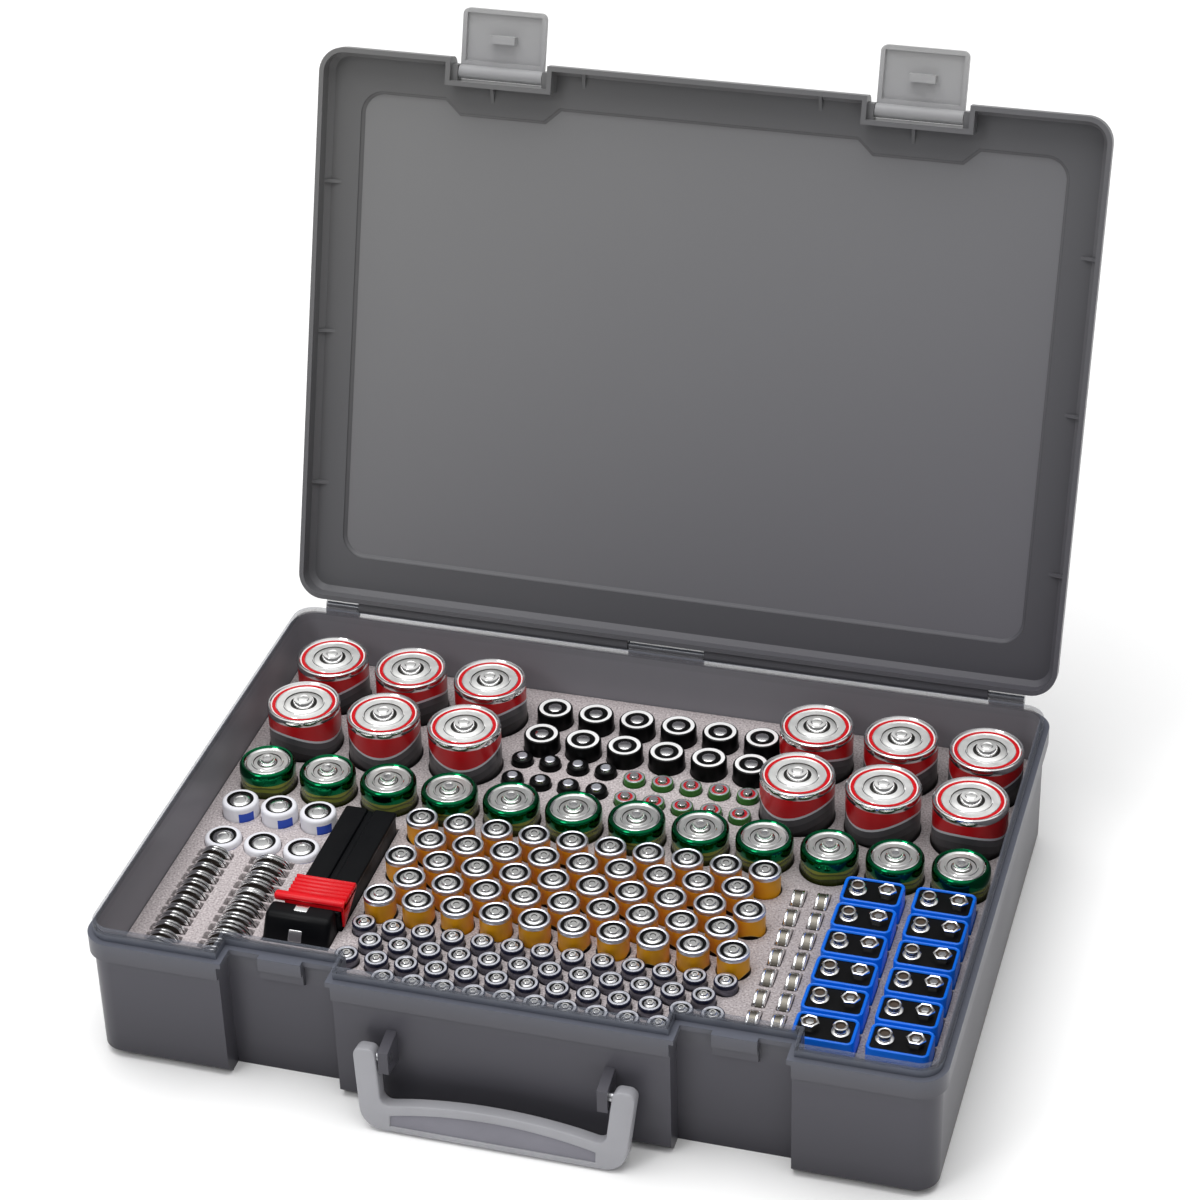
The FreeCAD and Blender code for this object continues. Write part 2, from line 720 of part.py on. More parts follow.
def make_latch(side, sign):
    """Latch flap: barrel, framed plate and a nib that hooks under the catch."""
    body = new_body("flap_" + side)
    half = "(latch_width / 2)"
    inner = "(latch_barrel_radius - latch_plate)"
    block(body, "Additive", "plate", (f"-{half}", "-latch_length", inner),
          ("latch_width", "latch_length", "latch_plate"))
    tip = value("-latch_length")
    corners = edges_of(body, lambda box: box.ZLength > value("latch_plate") / 2 and same(box.Center.y, tip))
    dress(body, "Fillet", "tip_corners", corners, "latch_corner")
    block(body, "Subtractive", "plate_recess",
          (f"latch_frame - {half}", "latch_frame - latch_length", f"{inner} - overrun"),
          ("latch_width - 2 * latch_frame", "latch_length - 2 * latch_frame - latch_barrel_radius",
           "latch_plate - latch_web + overrun"))
    rod(body, "Additive", "barrel", (f"-{half}", "0", "0"), "latch_barrel_radius", "latch_width")
    block(body, "Additive", "nib", ("-nib_width / 2", "-nib_start - nib_thickness", "-nib_reach"),
          ("nib_width", "nib_thickness", "nib_reach + latch_barrel_radius - latch_web / 2"))
    rod(body, "Subtractive", "pin_bore", (f"-{half} - overrun", "0", "0"), "latch_pin_radius + pin_gap",
        "latch_width + 2 * overrun")
    y, z = on_lid(LATCH_Y, LATCH_Z)
    place(body, sign + "recess_centre", y, z, X_AXIS, "-lid_open_angle")
    keep(body, "latch_" + side)
    pin = doc.addObject("Part::Cylinder", "latch_rod_" + side)
    length = "(recess_width + lid_wall - 2 * seat_gap)"
    bind(pin, "Radius", "latch_pin_radius")
    bind(pin, "Height", length)
    place(pin, f"{sign}recess_centre - {length} / 2", y, z, Y_AXIS, "90")
    keep(pin, "latch_pin_" + side)


def make_handle():
    """U-shaped handle with an arched grip, drawn about its pivot axis."""
    body = new_body("bail")
    inner = "(ear_inner + ear_width + handle_side_gap)"
    outer = f"({inner} + handle_arm)"
    low_outer = f"({outer} - handle_outer_splay)"
    low_inner = f"({inner} - handle_inner_splay)"
    low = "(-handle_drop)"
    arch = f"({low} + handle_bar)"
    outline = [
        ("-" + outer, "handle_arm_top"),
        ("-" + low_outer, low),
        (low_outer, low),
        (outer, "handle_arm_top"),
        (inner, "handle_arm_top"),
        (low_inner, arch, "-handle_crown"),
        ("-" + low_inner, arch),
        ("-" + inner, "handle_arm_top"),
    ]
    extrude(body, "Pad", "bail_plate", "XZ_Plane", outline, "0", "handle_thickness", True)
    bottom, top, bar = value(low), value("handle_arm_top"), value(arch)
    through = value("handle_thickness") / 2
    crosswise = [
        ("bends", "handle_bend", (value(low_outer),), bottom),
        ("inner_bends", "handle_inner_bend", (value(low_inner),), bar),
        ("arm_tops", "handle_top_round", (value(outer), value(inner)), top),
    ]
    for name, radius, sides, height in crosswise:
        edges = edges_of(
            body,
            lambda box: box.YLength > through
            and any(same(abs(box.Center.x), side) for side in sides)
            and same(box.Center.z, height),
        )
        dress(body, "Fillet", name, edges, radius)
    front = value("-handle_thickness / 2")
    face_edges = edges_of(body, lambda box: same(box.YMin, front) and same(box.YMax, front))
    dress(body, "Chamfer", "front_edge", face_edges, "handle_edge")
    grip_low = f"({low} + grip_border)"
    grip_arch = f"({grip_low} + grip_end_height)"
    grip = [
        ("-grip_half", grip_low),
        ("grip_half", grip_low),
        ("grip_half", grip_arch, "handle_crown"),
        ("-grip_half", grip_arch),
    ]
    recess = extrude(body, "Pocket", "grip_recess", "XZ_Plane", grip,
                     "handle_thickness / 2 - grip_depth", "grip_depth + overrun")
    recess.Reversed = True
    rod(body, "Subtractive", "pivot_bore", (f"-{outer} - overrun", "0", "0"),
        "handle_pin_radius + pin_gap", f"2 * ({outer} + overrun)")
    place(body, "0", "-pivot_reach", "pivot_height", X_AXIS, "-handle_lean")
    keep(body, "handle")
    for side, sign in SIDES:
        pin = doc.addObject("Part::Cylinder", "pivot_rod_" + side)
        length = "(ear_width + handle_side_gap + handle_arm - handle_edge)"
        bind(pin, "Radius", "handle_pin_radius")
        bind(pin, "Height", length)
        place(pin, f"{sign}(ear_inner + {length} / 2) - {length} / 2", "-pivot_reach", "pivot_height",
              Y_AXIS, "90")
        keep(pin, "handle_pin_" + side)


def prism(name, sides, radius, height):
    """Upright prism with a flat side to the front, standing on its own origin."""
    shape = doc.addObject("Part::Prism", name)
    shape.Polygon = sides
    bind(shape, "Circumradius", radius)
    bind(shape, "Height", height)
    place(shape, axis=Z_AXIS, angle=f"180 / {sides} + 90")
    return shape


def cell_with_nub(name, kind, sides):
    """Round cell with its top contact."""
    can = prism(name + "_can", sides, kind + "_radius", kind + "_height")
    nub = prism(name + "_nub", HEX_SIDES, kind + "_nub_radius", f"{kind}_nub_height + overrun")
    bind(nub, "Placement.Base.z", f"{kind}_height - overrun")
    whole = doc.addObject("Part::Fuse", name)
    whole.Base = can
    whole.Tool = nub
    return whole


def disc(name, sides, radius, thickness, facing_sides=False):
    """Disc on edge about its own centre, its faces to the front and back or to the sides."""
    shape = doc.addObject("Part::Prism", name)
    shape.Polygon = sides
    bind(shape, "Circumradius", radius)
    bind(shape, "Height", thickness)
    if facing_sides:
        place(shape, f"-{thickness} / 2", "0", "0", Y_AXIS, "90")
    else:
        place(shape, "0", f"{thickness} / 2", "0", X_AXIS, "90")
    return shape


def brick(name, width, depth, height):
    """Upright box about its own vertical axis."""
    shape = doc.addObject("Part::Box", name)
    bind(shape, "Length", width)
    bind(shape, "Width", depth)
    bind(shape, "Height", height)
    place(shape, f"-({width}) / 2", f"-({depth}) / 2", "0")
    return shape


def grid(x, y, x_pitch, y_pitch, counts):
    """Places of a plain grid, as pairs."""
    columns, rows = counts
    return [
        (value(x) + column * value(x_pitch), value(y) + row * value(y_pitch))
        for row in range(rows)
        for column in range(columns)
    ]


def staggered(kind, row_counts, start_shares):
    """Places of rows that start at shares of the pitch."""
    places = []
    for row, (count, share) in enumerate(zip(row_counts, start_shares)):
        start = value(f"{kind}_x") + share * value(f"{kind}_pitch")
        line = value(f"{kind}_y") + row * value(f"{kind}_row_pitch")
        places += [(start + number * value(f"{kind}_pitch"), line) for number in range(count)]
    return places


def cell_places():
    """Where each kind of cell stands in the foam."""
    left, right = f"-{HALF} +", f"{HALF} -"
    large_x = (
        f"{left} large_left_margin",
        f"{right} large_right_margin - {LARGE_COLUMNS - 1} * large_pitch",
    )
    large_y = f"case_depth - large_back_margin - {LARGE_ROWS - 1} * large_pitch"
    large = ("large_pitch", "large_pitch", (LARGE_COLUMNS, LARGE_ROWS))
    camera_y = f"case_depth - camera_back_margin - {CAMERA_COUNTS[1] - 1} * camera_row_pitch"
    button_x = f"{right} button_margin - {BUTTON_COUNTS[0] - 1} * button_column_pitch"
    square_x = f"{right} square_margin - {SQUARE_COUNTS[0] - 1} * square_column_pitch"
    return {
        "large": [spot for x in large_x for spot in grid(x, large_y, *large)],
        "middle": grid("middle_x", "middle_y", "middle_pitch", "0", (MIDDLE_COUNT, 1)),
        "finger": staggered("finger", FINGER_ROW_COUNTS, FINGER_START_SHARES),
        "slim": staggered("slim", SLIM_ROW_COUNTS, SLIM_START_SHARES),
        "camera": grid("camera_x", camera_y, "camera_pitch", "camera_row_pitch", CAMERA_COUNTS),
        "short_dark": grid("short_dark_x", "short_dark_y", "short_pitch", "short_row_pitch",
                           SHORT_DARK_COUNTS),
        "short_bright": grid("short_bright_x", "short_bright_y", "short_pitch", "short_row_pitch",
                             SHORT_BRIGHT_COUNTS),
        "white_back": grid(f"{left} white_margin", "white_back_y", "white_pitch", "0", (WHITE_COUNT, 1)),
        "white_front": grid(f"{left} white_margin", "white_front_y", "white_pitch", "0", (WHITE_COUNT, 1)),
        "small_coin": grid(f"{left} small_coin_margin", "coin_y", "0", "coin_pitch", (1, COIN_COUNT)),
        "large_coin": grid(f"{left} large_coin_margin", "coin_y", "0", "coin_pitch", (1, COIN_COUNT)),
        "button": grid(button_x, "button_y", "button_column_pitch", "button_pitch", BUTTON_COUNTS),
        "square": grid(square_x, "square_y", "square_column_pitch", "square_pitch", SQUARE_COUNTS),
    }


def copies(seed, spots, height):
    """Copies of a seed's shape at each place, at one height."""
    level = value(height)
    return [seed.Shape.translated(FreeCAD.Vector(x, y, level)) for x, y in spots]


def keep_group(label, shapes):
    """One sub-part that is a group of separate solids."""
    group = doc.addObject("Part::Feature", label)
    group.Shape = Part.makeCompound(shapes)
    group.Placement = FreeCAD.Placement()
    keep(group, label)


def make_cells(places):
    """Every cell, each standing in its own socket; gives the solids that cut those sockets."""
    seeds = {
        "large": cell_with_nub("large_cell", "large", LARGE_SIDES),
        "middle": cell_with_nub("middle_cell", "middle", MIDDLE_SIDES),
        "finger": prism("finger_cell", SLENDER_SIDES, "finger_radius", "finger_height"),
        "slim": prism("slim_cell", SLENDER_SIDES, "slim_radius", "slim_height"),
        "camera": prism("camera_cell", SMALL_SIDES, "camera_radius", "camera_height"),
        "short": prism("short_cell", SLENDER_SIDES, "short_radius", "short_height"),
        "white": prism("white_cell", SMALL_SIDES, "white_radius", "white_height"),
        "square": brick("square_cell", "square_width", "square_depth", "square_height"),
        "small_coin": disc("small_coin", SMALL_SIDES, "small_coin_radius", "coin_pack_thickness"),
        "large_coin": disc("large_coin", SMALL_SIDES, "large_coin_radius", "coin_pack_thickness"),
        "button": disc("button_cell", SMALL_SIDES, "button_radius", "button_thickness", facing_sides=True),
        "round_snap": prism("round_snap", SMALL_SIDES, "round_snap_radius", "snap_height"),
        "hex_snap": prism("hex_snap", HEX_SIDES, "hex_snap_radius", "snap_height"),
    }
    doc.recompute()
    standing = (
        ("large_cells", "large", "large", CELL_FLOOR),
        ("middle_cells", "middle", "middle", CELL_FLOOR),
        ("finger_cells", "finger", "finger", CELL_FLOOR),
        ("slim_cells", "slim", "slim", CELL_FLOOR),
        ("camera_cells", "camera", "camera", "camera_top - camera_height"),
        ("short_dark_cells", "short", "short_dark", "short_top - short_height"),
        ("short_bright_cells", "short", "short_bright", "short_top - short_height"),
        ("square_cells", "square", "square", CELL_FLOOR),
        ("small_coin_cells", "small_coin", "small_coin", "coin_top - small_coin_radius"),
        ("large_coin_cells", "large_coin", "large_coin", "coin_top - large_coin_radius"),
        ("button_cells", "button", "button", "button_top - button_radius"),
    )
    for label, seed, spots, height in standing:
        keep_group(label, copies(seeds[seed], places[spots], height))
    whites = copies(seeds["white"], places["white_back"], "white_back_top - white_height")
    whites += copies(seeds["white"], places["white_front"], "white_front_top - white_height")
    keep_group("white_cells", whites)
    snap_floor = f"{CELL_FLOOR} + square_height"
    offset = value("snap_offset")
    first_row = min(y for x, y in places["square"])
    lefts = [(x - offset, y) for x, y in places["square"]]
    rights = [(x + offset, y) for x, y in places["square"]]
    turned = [x == min(x for x, y in places["square"]) and y == first_row for x, y in places["square"]]
    rounds = [right if turn else left for left, right, turn in zip(lefts, rights, turned)]
    hexes = [left if turn else right for left, right, turn in zip(lefts, rights, turned)]
    keep_group("round_snaps", copies(seeds["round_snap"], rounds, snap_floor))
    keep_group("hex_snaps", copies(seeds["hex_snap"], hexes, snap_floor))


def socket_cutters(places):
    """Solids that open a socket round every cell, each a gap wider than what stands in it."""
    rise = "foam_top + overrun"
    kinds = (
        ("large", LARGE_SIDES, "large_radius", CELL_FLOOR),
        ("middle", MIDDLE_SIDES, "middle_radius", CELL_FLOOR),
        ("finger", SLENDER_SIDES, "finger_radius", CELL_FLOOR),
        ("slim", SLENDER_SIDES, "slim_radius", CELL_FLOOR),
        ("camera", SMALL_SIDES, "camera_radius", "camera_top - camera_height"),
        ("short_dark", SLENDER_SIDES, "short_radius", "short_top - short_height"),
        ("short_bright", SLENDER_SIDES, "short_radius", "short_top - short_height"),
        ("white_back", SMALL_SIDES, "white_radius", "white_back_top - white_height"),
        ("white_front", SMALL_SIDES, "white_radius", "white_front_top - white_height"),
    )
    slots = (
        ("square", "square_width", "square_depth", CELL_FLOOR),
        ("small_coin", "2 * small_coin_radius", "coin_pack_thickness", "coin_top - 2 * small_coin_radius"),
        ("large_coin", "2 * large_coin_radius", "coin_pack_thickness", "coin_top - 2 * large_coin_radius"),
        ("button", "button_thickness", "2 * button_radius", "button_top - 2 * button_radius"),
    )
    cutters = []
    for kind, sides, radius, floor in kinds:
        seed = prism("socket_" + kind, sides, f"{radius} + cell_gap", f"{rise} - ({floor})")
        cutters.append((seed, kind, floor))
    for kind, width, depth, floor in slots:
        wide, deep = f"{width} + 2 * cell_gap", f"{depth} + 2 * cell_gap"
        seed = brick("slot_" + kind, wide, deep, f"{rise} - ({floor})")
        cutters.append((seed, kind, floor))
    doc.recompute()
    solids = []
    for seed, kind, floor in cutters:
        solids += copies(seed, places[kind], floor)
    return solids


def tester_slots():
    """Room in the foam for the tester's body and nose."""
    slots = []
    rise = f"foam_top + overrun - {CELL_FLOOR}"
    for name, x, width, front, back in (
        ("tester_slot", "tester_x", "tester_width", "tester_front", "tester_back"),
        ("nose_slot", "nose_x", "nose_width", "nose_front", "tester_front"),
    ):
        slot = doc.addObject("Part::Box", name)
        bind(slot, "Length", f"{width} + 2 * cell_gap")
        bind(slot, "Width", f"{back} - {front} + 2 * cell_gap")
        bind(slot, "Height", rise)
        place(slot, f"{x} - {width} / 2 - cell_gap", f"{front} - cell_gap", CELL_FLOOR)
        slots.append(slot)
    doc.recompute()
    return [slot.Shape.copy() for slot in slots]


def make_foam(places):
    """Foam insert that fills the base up to its face, with a socket for everything it holds."""
    body = new_body("foam_block")
    inset = f"({CAVITY_INSET} + foam_gap)"
    add_slab(body, "slab", inset, f"({inset} + back_setback)", "floor_thickness",
             "foam_top - floor_thickness", "0", f"corner_radius - {CAVITY_INSET}")
    dress(body, "Chamfer", "slab_edge", level_ring(body, "floor_thickness"), "cavity_bevel")
    cut_notches(body, "recess_room", inset, "recess_depth", "-overrun", "foam_top + 2 * overrun", "0")
    foam = doc.addObject("Part::Feature", "foam")
    foam.Shape = body.Shape.cut(socket_cutters(places) + tester_slots())
    foam.Placement = FreeCAD.Placement()
    keep(foam, "foam_insert")


def make_tester():
    """Tester: grooved body, round nose, slider that straddles the body, and two contacts."""
    body = new_body("tester_case")
    left = "(tester_x - tester_width / 2)"
    block(body, "Additive", "case", (left, "tester_front", CELL_FLOOR),
          ("tester_width", "tester_back - tester_front", f"tester_top - {CELL_FLOOR}"))
    far = value("tester_back")
    ends = edges_of(body, lambda box: box.ZLength > value("tester_width") and same(box.Center.y, far))
    dress(body, "Fillet", "case_ends", ends, "tester_round")
    block(body, "Subtractive", "groove",
          ("tester_x - groove_width / 2", "tester_front + groove_margin", "tester_top - groove_depth"),
          ("groove_width", "tester_back - tester_front - 2 * groove_margin", "groove_depth + overrun"))
    keep(body, "tester_body")

    nose = new_body("nose_block")
    nose_left = "(nose_x - nose_width / 2)"
    block(nose, "Additive", "nose_case", (nose_left, "nose_front", CELL_FLOOR),
          ("nose_width", "tester_front - nose_front", f"nose_top - {CELL_FLOOR}"))
    near, high = value("nose_front"), value("nose_top")
    posts = edges_of(nose, lambda box: box.ZLength > value("nose_round") and same(box.Center.y, near))
    dress(nose, "Fillet", "nose_corners", posts, "nose_round")
    behind = value("nose_front + nose_round / 2")
    brow = edges_of(nose, lambda box: same(box.ZMin, high) and box.YMin < behind)
    dress(nose, "Chamfer", "nose_brow", brow, "groove_depth")
    keep(nose, "tester_nose")

    slider = new_body("slider_saddle")
    under = "(tester_top + slider_gap)"
    half = "(tester_width / 2 + slider_gap + slider_side)"
    start = "(tester_front + contact_thickness + slider_gap)"
    block(slider, "Additive", "saddle", (f"tester_x - {half}", start, under),
          (f"2 * {half}", "slider_length", "slider_plate"))
    for side, sign in SIDES:
        outline = [
            (start, f"{under} + slider_plate"),
            (start, f"{under} - slider_skirt"),
            (f"{start} + slider_length", f"{under} + slider_plate / 2"),
            (f"{start} + slider_length", f"{under} + slider_plate"),
        ]
        middle = f"tester_x {'-' if sign else '+'} ({half} - slider_side / 2)"
        extrude(slider, "Pad", "skirt_" + side, "YZ_Plane", outline, middle, "slider_side", True)
    rib_pitch = f"((slider_length - slider_bar_length) / {SLIDER_RIBS})"
    for number in range(SLIDER_RIBS):
        rib_y = f"{start} + slider_bar_length + {number} * {rib_pitch} + slider_rib_width / 4"
        block(slider, "Additive", f"thumb_rib_{number}",
              (f"tester_x - {half}", rib_y, f"{under} + slider_plate / 2"),
              (f"2 * {half}", "slider_rib_width", "slider_plate / 2 + slider_rib"))
    block(slider, "Additive", "thumb_bar", (f"tester_x - {half} - slider_bar_reach", start, under),
          (f"2 * {half} + slider_bar_reach", "slider_bar_length", "slider_plate + slider_rib"))
    keep(slider, "tester_slider")

    strip = doc.addObject("Part::Box", "contact_strip")
    bind(strip, "Length", "contact_width")
    bind(strip, "Width", "contact_thickness")
    bind(strip, "Height", "contact_height")
    place(strip, "nose_x - contact_width / 2", "nose_front - contact_thickness", "contact_low")
    keep(strip, "tester_front_contact")
    tongue = doc.addObject("Part::Box", "contact_tongue")
    bind(tongue, "Length", "contact_width")
    bind(tongue, "Width", "tester_front - nose_front - nose_round")
    bind(tongue, "Height", "contact_thickness")
    place(tongue, "nose_x - contact_width / 2", "nose_front + nose_round", "nose_top")
    keep(tongue, "tester_top_contact")


def set_on_origin():
    """Set every sub-part back by half the depth, so that the origin is under the middle of the case."""
    for item in subparts:
        formulas = {path.lstrip("."): formula for path, formula in item.ExpressionEngine}
        drawn = formulas.get("Placement.Base.y", "0")
        item.setExpression("Placement.Base.y", f"{drawn} - Sizes.case_depth / 2")


def check_document():
    """Stop if any object failed to build or any sub-part is not whole."""
    doc.recompute()
    for item in doc.Objects:
        if "Invalid" in item.State or "Error" in item.State:
            raise RuntimeError(f"{item.Label} failed to build: {item.State}")
    for item in subparts:
        if item.Shape.isNull() or not item.Shape.isValid():
            raise RuntimeError(f"{item.Label} has no valid shape")


def write_files():
    """Write each sub-part's shape to a file of its own name."""
    os.makedirs("parts", exist_ok=True)
    for item in subparts:
        item.Shape.exportStep(f"parts/{item.Label}.step")
        print(f"{item.Label}: {len(item.Shape.Solids)} solids, {item.Shape.Volume:.0f} mm3")


fill_sheet()
make_base()
make_lid()
make_hinge_pin()
for latch_side, latch_sign in SIDES:
    make_latch(latch_side, latch_sign)
make_handle()
all_places = cell_places()
make_foam(all_places)
make_cells(all_places)
make_tester()
set_on_origin()
check_document()
write_files()
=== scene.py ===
"""Looks of a battery carrying case: smoky shell, foam insert, cells, tester, latches and handle.

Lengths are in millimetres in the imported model's frame, and become metres where a mesh is made.
"""

import math
import random

import bmesh
import bpy
from mathutils import Matrix, Vector
from mathutils.geometry import delaunay_2d_cdt


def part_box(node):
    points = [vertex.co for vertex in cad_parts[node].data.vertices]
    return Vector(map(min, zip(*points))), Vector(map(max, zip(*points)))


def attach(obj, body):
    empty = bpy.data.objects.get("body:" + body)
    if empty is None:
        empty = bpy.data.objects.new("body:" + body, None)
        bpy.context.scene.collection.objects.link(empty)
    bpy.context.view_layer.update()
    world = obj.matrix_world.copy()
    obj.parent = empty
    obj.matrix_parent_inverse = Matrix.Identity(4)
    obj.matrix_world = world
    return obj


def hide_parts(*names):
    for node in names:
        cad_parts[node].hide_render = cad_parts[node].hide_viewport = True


MM = 0.001
FULL_TURN = 2 * math.pi

# Camera: target, turn round the case, elevation, roll and distance; angles are in radians
TARGET = Vector((-58.95, 223.74, 30.0))
AZIMUTH = 0.293487
ELEVATION = 0.567763
ROLL = -0.027575
DISTANCE = 1617.3
SENSOR = 36.0
LENS = 96.63

# Nearest and farthest that the camera sees, in metres
NEAREST = 0.05
FARTHEST = 50.0

# Where the lamps point, in metres
LAMP_TARGET = Vector((0, 0, 0.08))

# Pivot of the handle, and its lean as it rests
HANDLE_PIVOT = Vector((0.0, -138.0, 33.5))
HANDLE_LEAN = math.radians(9.0)

# Axis of the lid's hinge and how far the lid stands open
HINGE = Vector((0.0, 134.5, 66.5))
LID_OPEN = math.radians(108.0)

# A place in metres, spread by this and taken along its face's normal, is under -1 on the inner faces of
# the side and back walls, where painted light mixes in a lighter grey
INNER_LIGHT_SPREAD = (5.9, 8.2, 0.0)
INNER_LIGHT_FADE = 0.1

# Tester's nose: its foot and brow from front to back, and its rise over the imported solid
NOSE_FOOT = -85.5
NOSE_BROW = -79.5
NOSE_RISE = 1.6

# Foam insert
FOAM_TOP = 40.0
FOAM_FLOOR = 2.2
FOAM_RIM = 0.35
SOCKET_GAP = 0.3

# Round sections
FINE_SIDES = 40
ROUND_SIDES = 28
SMALL_ROUND_SIDES = 20
CORNER_STEPS = 6
RIM_STEPS = 3
ARCH_STEPS = 24

# Meshes: how near points are joined, below which angle they look smooth, and above which edges are rounded
WELD_GAP = MM / 200
SAME_POINT = MM / 1000
SMOOTH_ANGLE = math.radians(35)
EDGE_ANGLE = math.radians(40)

# Matrices that stand a drawing up: x stays or becomes y, and the drawing's y becomes z
FACING_FRONT = Matrix.Rotation(math.radians(90), 4, "X")
FACING_SIDE = Matrix.Rotation(math.radians(90), 4, "Z") @ Matrix.Rotation(math.radians(90), 4, "X")

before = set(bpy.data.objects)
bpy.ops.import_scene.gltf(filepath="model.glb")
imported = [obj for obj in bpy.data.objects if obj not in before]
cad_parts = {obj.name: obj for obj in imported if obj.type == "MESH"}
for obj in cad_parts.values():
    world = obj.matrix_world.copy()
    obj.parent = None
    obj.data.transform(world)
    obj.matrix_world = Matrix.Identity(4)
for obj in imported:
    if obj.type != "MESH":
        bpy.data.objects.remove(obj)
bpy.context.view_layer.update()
random.seed(7)


def linear(code):
    """Linear colour, with alpha, from a hex colour code."""
    values = [int(code[i : i + 2], 16) / 255 for i in (1, 3, 5)]
    return [v / 12.92 if v <= 0.04045 else ((v + 0.055) / 1.055) ** 2.4 for v in values] + [1.0]


def set_stops(ramp, stops):
    """Fill a colour ramp: each stop is a place along it, and a hex colour or the level of a grey."""
    while len(ramp.elements) < len(stops):
        ramp.elements.new(0.5)
    for element, (position, colour) in zip(ramp.elements, stops):
        element.position = position
        element.color = linear(colour) if isinstance(colour, str) else [colour] * 3 + [1.0]


class Shader:
    """A node material with the few nodes that this scene's surfaces are made of."""

    def __init__(self, name, **sockets):
        self.material = bpy.data.materials.new(name)
        self.material.use_nodes = True
        self.tree = self.material.node_tree
        self.surface = self.tree.nodes["Principled BSDF"]
        for socket, number in sockets.items():
            self.surface.inputs[socket.replace("_", " ")].default_value = number

    def node(self, kind, inputs=(), **settings):
        """A new node; inputs are pairs of a socket and a number, a colour or another node's output."""
        made = self.tree.nodes.new(kind)
        for name, setting in settings.items():
            setattr(made, name, setting)
        for socket, source in inputs:
            if isinstance(source, bpy.types.NodeSocket):
                self.tree.links.new(source, made.inputs[socket])
            else:
                made.inputs[socket].default_value = source
        return made

    def link(self, source, socket):
        """Lead an output to a socket of the surface."""
        self.tree.links.new(source, self.surface.inputs[socket])

    def place(self):
        """Object coordinates, in metres."""
        return self.node("ShaderNodeTexCoord").outputs["Object"]

    def noise(self, scale, detail=3.0):
        """Noise whose grains are about a metre over scale wide."""
        inputs = [("Vector", self.place()), ("Scale", scale), ("Detail", detail)]
        return self.node("ShaderNodeTexNoise", inputs).outputs["Fac"]

    def math(self, operation, first, second=0.0):
        """A sum, product or other operation of two numbers."""
        return self.node("ShaderNodeMath", [(0, first), (1, second)], operation=operation).outputs[0]

    def wrapped(self):
        """Shares of a turn round a cell and of its height."""
        axes = self.node("ShaderNodeSeparateXYZ", [(0, self.node("ShaderNodeUVMap").outputs[0])])
        return axes.outputs[0], axes.outputs[1]

    def along(self, place, direction):
        """How far a place lies along a direction."""
        inputs = [(0, place), (1, direction)]
        return self.node("ShaderNodeVectorMath", inputs, operation="DOT_PRODUCT").outputs["Value"]

    def share(self, value, low, high):
        """How far a value has come from low to high, held between 0 and 1."""
        inputs = [("Value", value), ("From Min", low), ("From Max", high)]
        return self.node("ShaderNodeMapRange", inputs).outputs[0]

    def ramp(self, factor, stops, interpolation="LINEAR"):
        """Colours, or numbers as greys, at positions along a factor."""
        made = self.node("ShaderNodeValToRGB", [("Fac", factor)])
        made.color_ramp.interpolation = interpolation
        set_stops(made.color_ramp, stops)
        return made.outputs["Color"]

    def mix(self, factor, first, second, blend="MIX"):
        """Two colours mixed or multiplied by a factor."""
        made = self.node("ShaderNodeMix", data_type="RGBA", blend_type=blend)
        for socket, source in ((0, factor), (6, first), (7, second)):
            if isinstance(source, bpy.types.NodeSocket):
                self.tree.links.new(source, made.inputs[socket])
            else:
                made.inputs[socket].default_value = source
        return made.outputs[2]

    def bump(self, height, distance):
        """Unevenness of the surface, as high as a distance in metres."""
        inputs = [("Height", height), ("Distance", distance), ("Strength", 1.0)]
        self.link(self.node("ShaderNodeBump", inputs).outputs["Normal"], "Normal")

    def shaded(self, colour, scale=40.0, depth=0.08):
        """The colour with soft, broad changes of lightness."""
        lightness = self.ramp(self.noise(scale), [(0.3, 1.0 - depth), (0.7, 1.0)])
        return self.mix(1.0, colour, lightness, "MULTIPLY")


def moulded(name, colour, rough, grain=0.00003, **sockets):
    """Moulded plastic or paint of one colour, with a fine grain, in metres, and uneven gloss."""
    shader = Shader(name, **{"Roughness": rough, "Specular_IOR_Level": 0.25, **sockets})
    shader.link(shader.shaded(linear(colour), depth=0.1), "Base Color")
    gloss = [(0.35, rough * 0.85), (0.65, rough * 1.15)]
    shader.link(shader.ramp(shader.noise(scale=90.0), gloss), "Roughness")
    shader.bump(shader.noise(scale=1400.0), distance=grain)
    return shader.material


def metal(name, colour, rough):
    """Plated metal with a fine unevenness."""
    shader = Shader(name, Metallic=1.0)
    shader.link(shader.shaded(linear(colour), scale=60.0, depth=0.06), "Base Color")
    gloss = [(0.3, rough * 0.9), (0.7, rough * 1.1)]
    shader.link(shader.ramp(shader.noise(scale=200.0), gloss), "Roughness")
    shader.bump(shader.noise(scale=1500.0), distance=0.000002)
    return shader.material


def satin(shader):
    """Finish of the smoky plastics: soft changes of gloss and a very fine grain."""
    shader.link(shader.ramp(shader.noise(scale=12.0, detail=1.0), [(0.35, 0.3), (0.65, 0.36)]), "Roughness")
    shader.bump(shader.noise(scale=900.0), distance=0.000005)
    return shader.material


